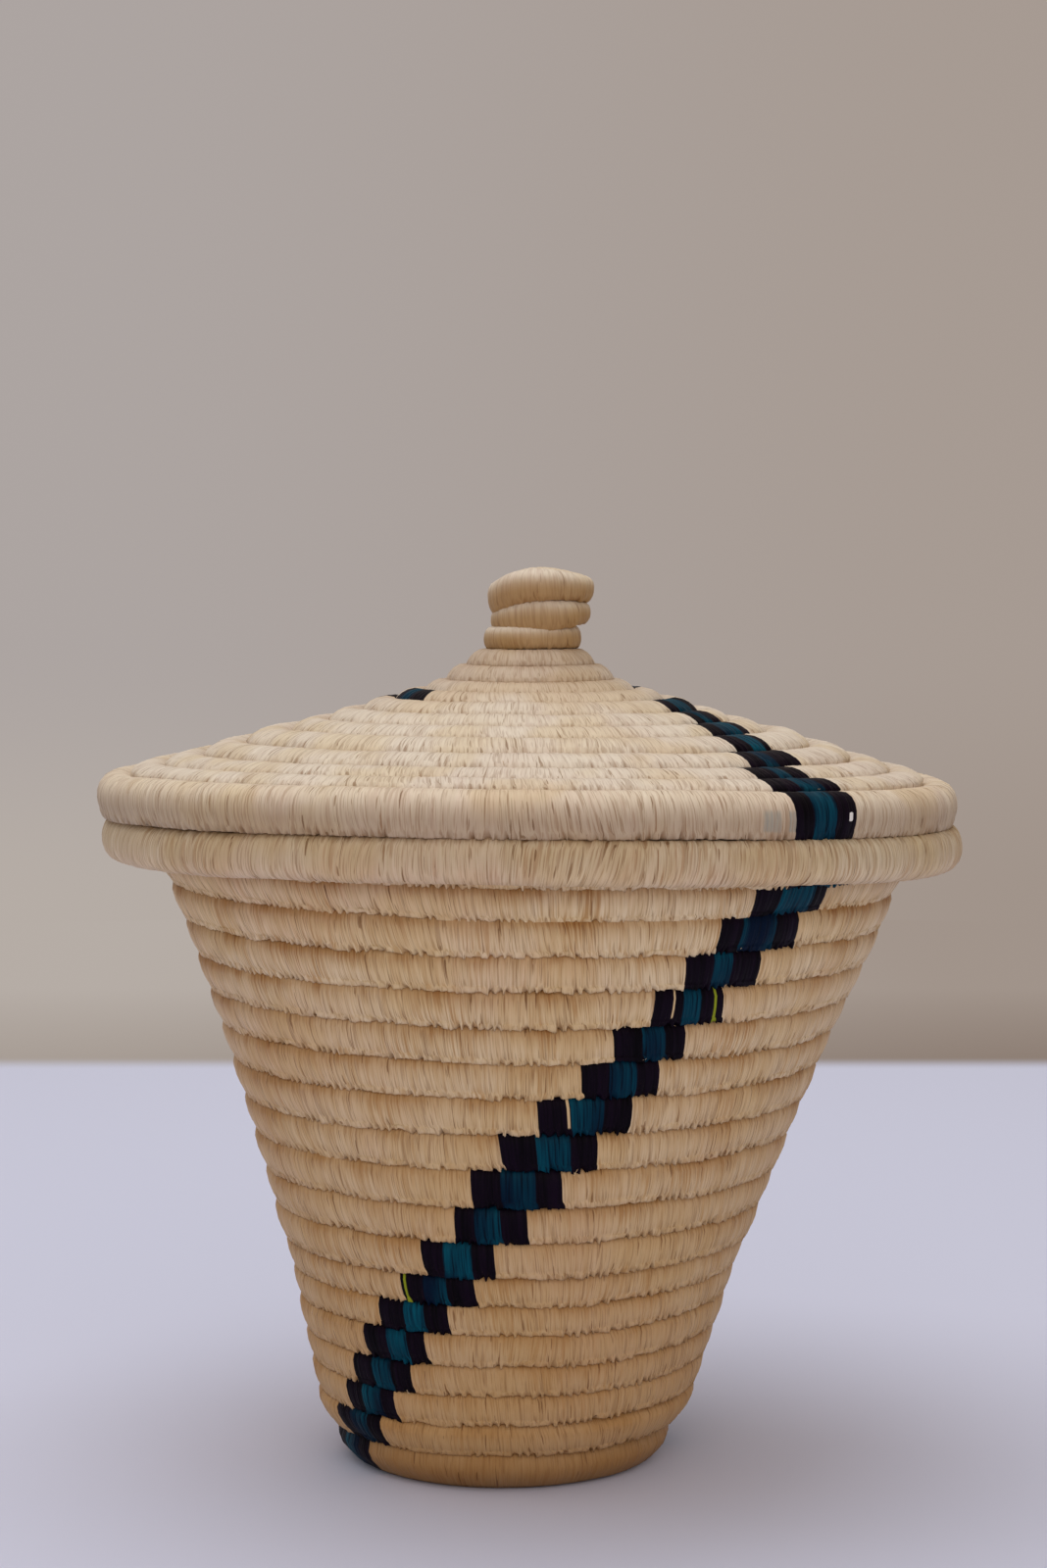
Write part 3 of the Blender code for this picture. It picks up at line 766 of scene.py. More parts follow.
# Frayed ends: how many a square metre, where on the section, how they bend and where they point
FRAYED_DENSITY = 6000.0
FRAYED_SINES = (0.62, 0.8)
FRAYED_COSINES = (-0.05, 0.1)
FRAYED_PATCHES = (0.42, 0.68)
END_BEND = {"Start": (0.0, 0.0, -0.1), "Middle": (0.0, 0.0, 0.7), "End": (0.45, 0.1, 0.95)}
OUT_PULL = 0.55
DOWN_PULL = 0.9
TWIST_PULL = 1.5
SHORTEST_SHARE = 0.25
LENGTH_RANGE_SHARE = 0.8


def fibre_tree():
    """Short frayed ends that stand up along the stitches."""
    tree, given, end = new_tree("frayed_ends", "GeometryNodeTree", (
        ("Geometry", GEOMETRY, None), ("Density", FLOAT, FRAYED_DENSITY), ("Length", FLOAT, 2.2 * MM),
        ("Width", FLOAT, 0.3 * MM), ("Seed", INTEGER, 4), ("Material", MATERIAL, None),
    ), (("Geometry", GEOMETRY),))
    run, sine, cosine = split(attribute(tree, "lay", "FLOAT_VECTOR"))
    edge = ramp(sine, *FRAYED_SINES) * ramp(cosine, *FRAYED_COSINES)
    patch = ramp(noise(run, *WAVES["frayed"]), *FRAYED_PATCHES)
    spots = add_node(tree, "GeometryNodeDistributePointsOnFaces", {
        "Mesh": given["Geometry"], "Density": edge * patch * given["Density"], "Seed": given["Seed"]})
    points, normal = Flow(tree, spots.outputs["Points"]), Flow(tree, spots.outputs["Normal"])
    line = result(tree, "GeometryNodeCurveQuadraticBezier", 0, {"Resolution": 4, **END_BEND})
    profile = result(tree, "GeometryNodeCurvePrimitiveCircle", 0, {
        "Resolution": 3, "Radius": given["Width"] / given["Length"] / 2.0})
    hair = result(tree, "GeometryNodeCurveToMesh", 0, {
        "Curve": line, "Profile Curve": profile, "Fill Caps": True})
    identity = result(tree, "GeometryNodeInputID", 0)
    twist = merge(tree, *(random_at(tree, identity, given["Seed"] + step) - 0.5 for step in (1, 2, 3)))
    down = attribute(tree, "toward", "FLOAT_VECTOR")
    aim = normal * OUT_PULL + down * DOWN_PULL + twist * TWIST_PULL
    turned = result(tree, "FunctionNodeAlignRotationToVector", 0, {"Vector": aim}, axis="Z")
    spin = merge(tree, 0.0, 0.0, random_at(tree, identity, given["Seed"] + 4) * FULL_TURN)
    turned = result(tree, "FunctionNodeRotateRotation", 0, {
        "Rotation": turned, "Rotate By": spin}, rotation_space="LOCAL")
    size = random_at(tree, identity, given["Seed"] + 6)
    size = (size * size * LENGTH_RANGE_SHARE + SHORTEST_SHARE) * given["Length"]
    hairs = result(tree, "GeometryNodeInstanceOnPoints", 0, {
        "Points": points, "Instance": hair, "Rotation": turned, "Scale": merge(tree, size, size, size)})
    tint = random_at(tree, identity, given["Seed"] + 8)
    hairs = result(tree, "GeometryNodeRealizeInstances", 0, {"Geometry": hairs})
    parts = split(result(tree, "GeometryNodeInputPosition", 0))
    above = merge(tree, parts[0], parts[1], parts[2].join("MAXIMUM", given["Width"]))
    hairs = result(tree, "GeometryNodeSetPosition", 0, {"Geometry": hairs, "Position": above})
    hairs = stored(tree, hairs, "tint", tint)
    hairs = result(tree, "GeometryNodeSetMaterial", 0, {
        "Geometry": hairs, "Material": given["Material"]})
    feed(tree, end.inputs["Geometry"], hairs)
    return tree


def shared_tree(name, maker):
    """Builds a node group once and finds it again afterwards."""
    return bpy.data.node_groups.get(name) or maker()


# Shader groups

# Streaks: width, stretch round the section, contrast, and where on the noise each use starts
STREAKS = {
    "ribbon": (2.6 * MM, 0.3, 2.6, 3.0),
    "strand": (0.8 * MM, 0.45, 2.8, 40.0),
    "fine": (0.4 * MM, 0.8, 2.8, 90.0),
    "crack": (0.8 * MM, 0.6, 2.2, 70.0),
    "dyed ribbon": (4.5 * MM, 0.2, 3.0, 11.0),
    "dyed strand": (0.6 * MM, 0.6, 2.4, 23.0),
    # The brighter teal strands: partly thin dye, partly painted highlights
    "uneven teal and glint": (18.0 * MM, 0.1, 4.0, 57.0),
}
# Patches over the whole basket: waves a metre, start on the noise, detail, and the range that fades in
PATCHES = {
    "rosy": (19.0, 0.0, 3.0, 0.42, 0.68),
    "wide": (55.0, 5.0, 2.0, 0.4, 0.7),
    "golden": (34.0, 17.0, 2.0, 0.45, 0.62),
}
# How much of each colour shows: shares from the ribbons, strands and patches under it
PALE_SHARES = (0.45, 0.5)
TAN_RANGE = (0.5, 0.95)
TAN_SHARES = (0.2, 0.8)
ROSY_SHARES = (0.1, 0.45)
GOLDEN_SHARE = 0.7
# Where round the section the painted shade of the side tucked under the next row falls, and how strong it
# is
UPPER_SIDE = (0.2, -0.75)
UPPER_SHARES = (0.6, 1.1)
# How far round the section the stitches' side fades into its painted shade
LOW_SIDE_SPAN = 1.05
FINE_LINES = (0.32, 0.08)
FINE_LINE_SHARE = 0.35
STRAND_LINES = (0.22, 0.05)
STRAND_LINE_SHARE = 0.45
CRACKS = (0.05, 0.0)
HEIGHT_SHARES = (0.35, 0.4, 0.35)
# Tints that multiply the raffia's colour, 1 for no change
GOLDEN_TINT = (0.94, 0.88, 0.74)
# Painted shade on the side of each row tucked under the next row's stitches
TUCKED_SHADE_TINT = (0.58, 0.41, 0.24)
# Painted shade along the foot's lowest edge, where it meets the table
FOOT_CONTACT_SHADE_TINT = (0.5, 0.42, 0.34)
HANDLED_TINT = (0.76, 0.69, 0.62)
CRACK_TINT = (0.42, 0.31, 0.21)
# Heights over the table: where the browner tone towards the bottom ends, the foot edge with painted shade
# where it meets the table, and the lid's crown that is held
BROWN_TOP = 190.0 * MM
FOOT_EDGE = (16.0 * MM, 2.0 * MM)
HELD_CROWN = (244.0 * MM, 264.0 * MM)
STRAND_HEIGHT = 0.35 * MM


def streak_group():
    """Streaks that follow the wraps: values run along each strand and change from strand to strand."""
    tree, given, end = new_tree("raffia_streaks", "ShaderNodeTree", (
        ("Lay", VECTOR, None), ("Width", FLOAT, 1.0 * MM), ("Stretch", FLOAT, 0.6),
        ("Contrast", FLOAT, 2.0), ("Shift", FLOAT, 0.0),
    ), (("Value", FLOAT),))
    run, sine, cosine = split(given["Lay"])
    place = merge(tree, run / given["Width"] + given["Shift"], sine * given["Stretch"],
                  cosine * given["Stretch"])
    value = (noise(place, 1.0, detail=1.0) - 0.5) * given["Contrast"] + 0.5
    feed(tree, end.inputs["Value"], value.join("MINIMUM", 1.0).join("MAXIMUM", 0.0))
    return tree


def streaks(tree, lay, use):
    """One of the uses in STREAKS, on a material or in a group."""
    values = dict(zip(("Width", "Stretch", "Contrast", "Shift"), STREAKS[use]), Lay=lay)
    group = shared_tree("raffia_streaks", streak_group)
    node = add_node(tree, "ShaderNodeGroup", node_tree=group)
    for key, value in values.items():
        feed(tree, node.inputs[key], value)
    return Flow(tree, node.outputs["Value"])


def blend_colours(tree, low, high, share, blend_type="MIX"):
    """From the low colour to the high one, as far as share says."""
    low, high = (colour if isinstance(colour, Flow) else (*colour, 1.0) for colour in (low, high))
    return result(tree, "ShaderNodeMix", 2, {0: share, 6: low, 7: high}, data_type="RGBA",
                  blend_type=blend_type, clamp_factor=True)


def tinted(tree, colour, tint, share):
    """A colour multiplied by a tint, as far as share says."""
    return blend_colours(tree, colour, tint, share, "MULTIPLY")


def patches(place, waves, start, detail, low, high):
    return ramp(noise(place, waves, start, detail), low, high)


def raffia_group():
    """Undyed raffia: pale, tan and rosy ribbons, fine strands, and shaded lines between them, with painted
    shade on the side tucked under the next row, on the stitches' side and at the foot's lowest edge, and a
    browner tone towards the bottom.
    """
    tree, given, end = new_tree("raffia", "ShaderNodeTree", (
        ("Lay", VECTOR, None), ("Place", VECTOR, None), ("Pale", COLOUR, None), ("Body", COLOUR, None),
        ("Tan", COLOUR, None), ("Rosy", COLOUR, None), ("Shade", COLOUR, None), ("Low", COLOUR, None),
        ("Brown Edge", FLOAT, 0.3), ("Brown Foot", FLOAT, 0.0), ("Handled", FLOAT, 0.0),
        ("Low From", FLOAT, -0.55), ("Lines", FLOAT, 0.8),
    ), (("Color", COLOUR), ("Height", FLOAT), ("Fine", FLOAT)))
    lay = given["Lay"]
    _, sine, _ = split(lay)
    height = split(given["Place"])[2]
    ribbon, strand, fine, crack = (
        streaks(tree, lay, use) for use in ("ribbon", "strand", "fine", "crack"))
    rosy, wide, golden = (patches(given["Place"], *PATCHES[use]) for use in ("rosy", "wide", "golden"))
    colour = blend_colours(
        tree, given["Body"], given["Pale"], ribbon * PALE_SHARES[0] + fine * PALE_SHARES[1])
    tan = ramp(strand, *TAN_RANGE) * mixed(*TAN_SHARES, wide)
    colour = blend_colours(tree, colour, given["Tan"], tan)
    colour = blend_colours(tree, colour, given["Rosy"], rosy * mixed(*ROSY_SHARES, ribbon))
    colour = tinted(tree, colour, GOLDEN_TINT, golden * GOLDEN_SHARE)
    # Painted shade on the side tucked under the next row: each wall row's top, under the row above
    upper = ramp(sine, *UPPER_SIDE) * mixed(*UPPER_SHARES, wide) * given["Brown Edge"]
    colour = tinted(tree, colour, TUCKED_SHADE_TINT, upper)
    # Painted shade on the side the stitches go into: the body rim's top under the lid rim, and the
    # undersides of the lid rim and the knob
    colour = tinted(tree, colour, given["Low"], ramp(sine - given["Low From"], 0.0, LOW_SIDE_SPAN))
    # Browner towards the bottom
    foot = ramp(height, BROWN_TOP, 0.0, shape="LINEAR") * given["Brown Foot"]
    colour = blend_colours(tree, colour, given["Tan"], foot)
    # Painted shade along the lowest edge, where the foot meets the table
    colour = tinted(tree, colour, FOOT_CONTACT_SHADE_TINT, ramp(height, *FOOT_EDGE) * given["Brown Foot"])
    colour = tinted(tree, colour, HANDLED_TINT, ramp(height, *HELD_CROWN) * given["Handled"])
    lines = ramp(fine, *FINE_LINES) * FINE_LINE_SHARE + ramp(strand, *STRAND_LINES) * STRAND_LINE_SHARE
    colour = blend_colours(tree, colour, given["Shade"], lines * given["Lines"])
    colour = tinted(tree, colour, CRACK_TINT, ramp(crack, *CRACKS) * given["Lines"])
    raised = [streak * share for streak, share in zip((ribbon, strand, fine), HEIGHT_SHARES)]
    feed(tree, end.inputs["Color"], colour)
    feed(tree, end.inputs["Height"], raised[0] + raised[1] + raised[2])
    feed(tree, end.inputs["Fine"], fine)
    return tree


def srgb_property(name, description, colour):
    return FloatVectorProperty(
        name=name, description=description, subtype="COLOR", size=3, min=0.0, max=1.0,
        default=linear(*colour))


class BasketColours(bpy.types.PropertyGroup):
    pale: srgb_property("Pale", "Light strands", (236, 213, 178))
    body: srgb_property("Body", "Most of the raffia", (208, 177, 135))
    tan: srgb_property("Tan", "Browned strands", (180, 135, 84))
    rosy: srgb_property("Rosy", "Pinkish patches", (210, 166, 132))
    # Also the colour that the lid, the rims and the knob pale towards, partly real fading and partly
    # painted cool light from above
    bleached: srgb_property("Bleached", "Raffia faded by light", (226, 219, 214))
    # Also the painted shade in the notches between stitches
    shade: srgb_property("Shade", "Lines between strands", (130, 88, 50))
    dark: srgb_property("Dark dye", "Aubergine dye in shade", (6, 2, 8))
    dark_lit: srgb_property("Lit dark dye", "Aubergine dye on raised strands", (26, 14, 30))
    teal: srgb_property("Teal dye", "Deep teal dye", (0, 24, 44))
    # Brighter teal: partly thinly dyed strands, partly painted highlights
    teal_bright: srgb_property("Bright teal dye", "Thinly dyed teal strands", (0, 88, 106))
    lime: srgb_property("Lime dye", "Odd lime strands", (138, 146, 40))
    bleed: srgb_property("Dye bleed", "Dye that ran into plain raffia", (138, 142, 136))


class BasketWraps(bpy.types.PropertyGroup):
    column: FloatProperty(
        name="Strand", description="Width of one modelled strand", default=0.45 * MM, unit="LENGTH")
    points_around: IntProperty(
        name="Points around", description="Points round a coil's section", default=16, min=8)
    stitch_width: FloatProperty(
        name="Stitch width", description="Width of one bundle of strands", default=2.4 * MM,
        unit="LENGTH")
    stitch_reach: FloatProperty(
        name="Stitch reach", description="How far stitches lap over the next row", default=1.1 * MM,
        unit="LENGTH")
    fray: FloatProperty(
        name="Fray", description="How unevenly strands end", default=0.55 * MM, unit="LENGTH")
    relief: FloatProperty(
        name="Relief", description="Height of strands and ribbons", default=0.15 * MM, unit="LENGTH")
    wobble: FloatProperty(
        name="Wobble", description="How far rows stray up and down", default=1.5 * MM, unit="LENGTH")
    slant: FloatProperty(
        name="Slant", description="How far strands lean along the coil", default=1.5 * MM,
        unit="LENGTH")
    end_length: FloatProperty(
        name="Frayed end length", description="Length of the longest frayed ends", default=2.2 * MM,
        unit="LENGTH")
    end_width: FloatProperty(
        name="Frayed end width", description="Width of a frayed end", default=0.3 * MM, unit="LENGTH")
    seed: IntProperty(name="Seed", description="Changes every random strand", default=4)


class BasketStage(bpy.types.PropertyGroup):
    floor: srgb_property("Floor", "Pale floor", (210, 210, 230))
    wall_left: srgb_property("Wall, left", "Background on the left", (171, 163, 160))
    wall_right: srgb_property("Wall, right", "Background on the right", (165, 153, 145))
    low_left: srgb_property("Low wall, left", "Background behind the basket, left", (180, 171, 164))
    low_right: srgb_property("Low wall, right", "Background behind the basket, right", (159, 146, 137))
    top_power: FloatProperty(
        name="Top lamp", description="Power of the large lamp overhead", default=31.0, unit="POWER")
    front_power: FloatProperty(
        name="Front lamp", description="Power of the large lamp in front", default=7.9, unit="POWER")
    world_strength: FloatProperty(
        name="Room light", description="Even light from all sides", default=0.52, min=0.0)


def seen_ray(tree):
    """1 on rays that show the background: the camera's own, and those that gloss or glass sends on."""
    path = add_node(tree, "ShaderNodeLightPath")
    camera, glossy, through = (Flow(tree, path.outputs[name]) for name in (
        "Is Camera Ray", "Is Glossy Ray", "Is Transmission Ray"))
    return (camera + glossy + through).join("MINIMUM", 1.0)


def settings():
    return bpy.context.scene.basket_colours, bpy.context.scene.basket_wraps, bpy.context.scene.basket_stage


def new_material(name):
    """A material, its node tree and its shader."""
    material = bpy.data.materials.new(name)
    material.use_nodes = True
    return material, material.node_tree, material.node_tree.nodes["Principled BSDF"]


def kept_value(tree, name, output="Fac"):
    """A value that the wrapped surface keeps under this name."""
    return result(tree, "ShaderNodeAttribute", output, attribute_name=name)


# Finishes: roughness from the hollows to the raised strands, and how deep the strands stand
RAFFIA_ROUGHNESS = (0.66, 0.5)
RAFFIA_SPECULAR = 0.24
RAFFIA_RELIEF = 0.55
DYED_ROUGHNESS = (0.6, 0.42)
DYED_SPECULAR = 0.06
DYED_RELIEF = 0.6
DYED_HEIGHT_SHARES = (0.3, 0.5)
FIBRE_ROUGHNESS = (0.75, 0.55)
FIBRE_WAVES = 900.0
FIBRE_TINT_SHARES = (0.8, 0.3)
# How far the notches between stitches are painted with shade
HOLLOW_SHADE_SHARE = 0.75
# Dye that ran: the range of its mark, its edges round the section, and its shares between strands
BLEED_RANGE = (0.0, 0.35)
BLEED_UPPER_EDGE = (-0.35, -0.1)
BLEED_LOWER_EDGE = (0.75, 0.5)
BLEED_OUTER_SIDE = (0.1, 0.6)
BLEED_SHARES = (0.2, 0.75)
# Dyed strands: small marks, uneven edges, and where the dye is thick or thin; the brighter teal strands
# are partly thin dye and partly painted highlights
PALE_MARK_RANGE = (0.3, 0.5)
PALE_MARK_EDGE = (0.5, 0.3)
FLECK_EDGE = (0.2, 0.12)
FLECK_LEVEL = 0.35
LIME_RANGE = (0.1, 0.4)
RAGGED_SHARE = 0.10
LIT_DYE_SHARE = 0.5
TEAL_AND_GLINT_SHARES = (0.15, 0.8)
THICK_DYE_RANGE = (0.3, 0.05)
THICK_DYE_SHARE = 0.5


def raise_strands(tree, shader, height, strength):
    feed(tree, shader.inputs["Normal"], result(tree, "ShaderNodeBump", "Normal", {
        "Strength": strength, "Distance": STRAND_HEIGHT, "Height": height}))


def raffia_material(name, faded_and_lit=0.0, low=(1.0, 1.0, 1.0), **shares):
    """Undyed wrapped raffia, with dye that ran into a few wraps; low tints the stitches' side with painted
    shade. Paling towards the bleached colour is partly real fading and partly painted cool light from
    above.
    """
    if name in bpy.data.materials:
        return bpy.data.materials[name]
    colours = settings()[0]
    material, tree, shader = new_material(name)
    lay = kept_value(tree, "lay", "Vector")
    place = result(tree, "ShaderNodeTexCoord", "Object")
    plain = add_node(tree, "ShaderNodeGroup", node_tree=shared_tree("raffia", raffia_group))
    feed(tree, plain.inputs["Lay"], lay)
    feed(tree, plain.inputs["Place"], place)
    for socket in ("Pale", "Body", "Tan", "Rosy"):
        colour = np.array(getattr(colours, socket.lower()))
        # Paler towards the bleached colour: partly real fading, partly painted cool light from above
        colour = mixed(colour, np.array(colours.bleached), faded_and_lit)
        plain.inputs[socket].default_value = (*colour, 1.0)
    plain.inputs["Shade"].default_value = (*colours.shade, 1.0)
    plain.inputs["Low"].default_value = (*low, 1.0)
    for key, value in shares.items():
        plain.inputs[key.replace("_", " ").title()].default_value = value
    _, sine, cosine = split(lay)
    hollow = kept_value(tree, "hollow")
    colour, height, fine = (Flow(tree, plain.outputs[key]) for key in ("Color", "Height", "Fine"))
    bleed = ramp(kept_value(tree, "bleed"), *BLEED_RANGE)
    bleed = bleed * ramp(sine, *BLEED_UPPER_EDGE) * ramp(sine, *BLEED_LOWER_EDGE)
    bleed = bleed * ramp(cosine, *BLEED_OUTER_SIDE) * mixed(*BLEED_SHARES, fine)
    # Painted shade in the notches between stitches
    colour = blend_colours(tree, colour, tuple(colours.shade), hollow * HOLLOW_SHADE_SHARE)
    colour = blend_colours(tree, colour, tuple(colours.bleed), bleed)
    feed(tree, shader.inputs["Base Color"], colour)
    feed(tree, shader.inputs["Roughness"], mixed(*RAFFIA_ROUGHNESS, fine))
    shader.inputs["Specular IOR Level"].default_value = RAFFIA_SPECULAR
    raise_strands(tree, shader, height, RAFFIA_RELIEF)
    return material


def dyed_material(name):
    """Dyed wraps: aubergine either side of teal, thinner on a few strands; those brighter teal strands are
    partly thinner dye and partly painted highlights.
    """
    if name in bpy.data.materials:
        return bpy.data.materials[name]
    colours = settings()[0]
    material, tree, shader = new_material(name)
    lay = kept_value(tree, "lay", "Vector")
    wide, strand, bright = (
        streaks(tree, lay, use) for use in ("dyed ribbon", "dyed strand", "uneven teal and glint"))
    stripe, lime, pale, fleck = (kept_value(tree, key) for key in ("dye", "lime", "pale", "fleck"))
    sine = split(lay)[1]
    pale = ramp(pale, *PALE_MARK_RANGE) * ramp(sine, *PALE_MARK_EDGE)
    fleck = fleck * ramp(sine.join("ABSOLUTE"), *FLECK_EDGE)
    distance = stripe.join("ABSOLUTE") + (strand - 0.5) * RAGGED_SHARE
    lit = wide * LIT_DYE_SHARE + strand * LIT_DYE_SHARE
    dark = blend_colours(tree, tuple(colours.dark), tuple(colours.dark_lit), lit)
    # Brighter teal strands: partly thinner dye, partly painted highlights
    teal_and_glint = bright * mixed(*TEAL_AND_GLINT_SHARES, strand)
    teal = blend_colours(tree, tuple(colours.teal), tuple(colours.teal_bright), teal_and_glint)
    thick = ramp(strand, *THICK_DYE_RANGE) * THICK_DYE_SHARE
    teal = blend_colours(tree, teal, tuple(colours.dark), thick)
    colour = blend_colours(tree, dark, teal, distance.join("LESS_THAN", DYE_EDGES[2]))
    colour = blend_colours(tree, colour, tuple(colours.lime), ramp(lime, *LIME_RANGE))
    colour = blend_colours(tree, colour, tuple(colours.body), pale)
    bleached = fleck.join("GREATER_THAN", FLECK_LEVEL)
    colour = blend_colours(tree, colour, tuple(colours.bleached), bleached)
    feed(tree, shader.inputs["Base Color"], colour)
    feed(tree, shader.inputs["Roughness"], mixed(*DYED_ROUGHNESS, strand))
    shader.inputs["Specular IOR Level"].default_value = DYED_SPECULAR
    height = wide * DYED_HEIGHT_SHARES[0] + strand * DYED_HEIGHT_SHARES[1]
    raise_strands(tree, shader, height, DYED_RELIEF)
    return material


def fibre_material(name, low, high):
    """Loose fibres, each a little lighter or darker than the next."""
    if name in bpy.data.materials:
        return bpy.data.materials[name]
    material, tree, shader = new_material(name)
    tint = kept_value(tree, "tint")
    place = result(tree, "ShaderNodeTexCoord", "Object")
    share = tint * FIBRE_TINT_SHARES[0] + noise(place, FIBRE_WAVES) * FIBRE_TINT_SHARES[1]
    feed(tree, shader.inputs["Base Color"], blend_colours(tree, tuple(low), tuple(high), share))
    feed(tree, shader.inputs["Roughness"], mixed(*FIBRE_ROUGHNESS, tint))
    return material


# Meshes from trees

def chain_mesh(name, columns, toward, extra, closed):
    """One vertex a column, joined in a chain, with the columns' values as attributes."""
    mesh = bpy.data.meshes.new(name)
    count = len(columns["run"])
    mesh.vertices.add(count)
    mesh.vertices.foreach_set("co", columns["centre"].astype(np.float32).ravel())
    links = np.stack([np.arange(count), (np.arange(count) + 1) % count], axis=1)
    links = links if closed else links[:-1]
    mesh.edges.add(len(links))
    mesh.edges.foreach_set("vertices", links.astype(np.int32).ravel())
    vectors = {"out": columns["out"], "along": columns["along"], "toward": columns["follow"] * toward}
    for key, values in vectors.items():
        kept = mesh.attributes.new(key, "FLOAT_VECTOR", "POINT")
        kept.data.foreach_set("vector", values.astype(np.float32).ravel())
    numbers = {key: columns[key] for key in ("run", "half", "thick")}
    numbers.update(extra)
    for key, values in numbers.items():
        kept = mesh.attributes.new(key, "FLOAT", "POINT")
        kept.data.foreach_set("value", np.asarray(values, np.float32))
    mesh.update()
    return mesh


def run_tree(name, mesh, tree, values):
    """A plain mesh object: the tree's result, with the modifier gone."""
    obj = bpy.data.objects.new(name, mesh)
    bpy.context.scene.collection.objects.link(obj)
    modifier = obj.modifiers.new("shape", "NODES")
    modifier.node_group = tree
    for item in tree.interface.items_tree:
        if item.item_type == "SOCKET" and item.in_out == "INPUT" and item.name in values:
            modifier[item.identifier] = values[item.name]
    bpy.context.view_layer.update()
    evaluated = obj.evaluated_get(bpy.context.evaluated_depsgraph_get())
    made = bpy.data.meshes.new_from_object(evaluated)
    bpy.data.objects.remove(obj, do_unlink=True)
    made.name = name
    piece = bpy.data.objects.new(name, made)
    bpy.context.scene.collection.objects.link(piece)
    return piece


def finish_piece(piece, body, nodes):
    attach(piece, body)
    if nodes:
        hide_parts(*nodes)


# The wraps of each piece, where they differ from the wall's
RIM_WRAPS = {
    "Points Around": 20, "Stitch Reach": 0.2 * MM, "Stitch Cover": 0.7, "Stitch Edge": 0.74,
    "Stitch Width": 4.0 * MM, "Fray": 0.3 * MM, "Lump": 0.03, "Wobble": 0.7 * MM,
    "Slant": 2.0 * MM, "Squareness": 0.92,
}
LID_RIM_WRAPS = {
    "Points Around": 20, "Stitch Reach": 0.2 * MM, "Stitch Cover": 0.95, "Stitch Edge": 0.8,
    "Stitch Width": 2.6 * MM, "Fray": 0.4 * MM, "Lump": 0.03, "Wobble": 0.7 * MM,
    "Slant": 1.8 * MM, "Squareness": 0.92,
}
LID_WRAPS = {
    "Stitch Reach": 0.6 * MM, "Stitch Cover": 0.85, "Stitch Edge": 0.74, "Squareness": 0.88,
    "Lump": 0.04, "Wobble": 0.9 * MM, "Slant": 1.8 * MM,
}
SEAT_WRAPS = {
    "Points Around": 12, "Stitch Reach": 0.4 * MM, "Stitch Cover": 0.6, "Stitch Edge": 0.7,
    "Squareness": 0.85, "Wobble": 0.2 * MM,
}
KNOB_WRAPS = {
    "Points Around": 20, "Stitch Reach": 0.6 * MM, "Stitch Cover": 0.8, "Stitch Edge": 0.75,
    "Squareness": 0.8, "Lump": 0.22, "Wobble": 2.0 * MM, "Slant": 1.6 * MM,
    "Relief": 0.16 * MM, "Stitch Width": 3.2 * MM,
}
WHORL_WRAPS = {
    "Points Around": 12, "Stitch Reach": 0.2 * MM, "Stitch Cover": 0.4, "Stitch Edge": 0.7,
    "Squareness": 0.9, "Wobble": 0.2 * MM, "Slant": 0.4 * MM,
}
# Added to the seed, so that no two pieces are alike
PIECE_SEEDS = {"lid rim": 20, "lid": 40, "seat": 60}
WALL_PARTS = 4
LID_PARTS = 2


def wrap_piece(name, columns, material, toward=-1, closed=False, marks=None, **changes):
    """One coil, or a stretch of one, as a wrapped surface."""
    _, wraps, _ = settings()
    count = len(columns["run"])
    extra = {"dye": np.full(count, NO_DYE)}
    extra.update({key: np.zeros(count) for key in ("lime", "pale", "bleed", "fleck")})
    extra.update(marks or {})
    values = {
        "Points Around": wraps.points_around, "Winding": float(toward), "Squareness": 0.7, "Overlap": 1.1,
        "Stitch Width": wraps.stitch_width, "Stitch Reach": wraps.stitch_reach, "Stitch Cover": 1.0,
        "Stitch Edge": 0.89, "Fray": wraps.fray, "Relief": wraps.relief, "Lump": 0.035,
        "Wobble": wraps.wobble, "Slant": wraps.slant, "Seed": wraps.seed, "Material": material,
        "Dyed Material": dyed_material("dyed_wraps"),
    }
    values.update(changes)
    mesh = chain_mesh(name + "_chain", columns, toward, extra, closed)
    return run_tree(name, mesh, shared_tree("wrapped_coil", wrap_tree), values)


def stretches(columns, marks, parts):
    """Cuts a coil's columns and marks into parts that share their end columns."""
    count = len(columns["run"])
    edges = [round(count * part / parts) for part in range(parts + 1)]
    for start, end in zip(edges, edges[1:]):
        end = min(end + 1, count)
        yield cut_columns(columns, start, end), {key: values[start:end] for key, values in marks.items()}


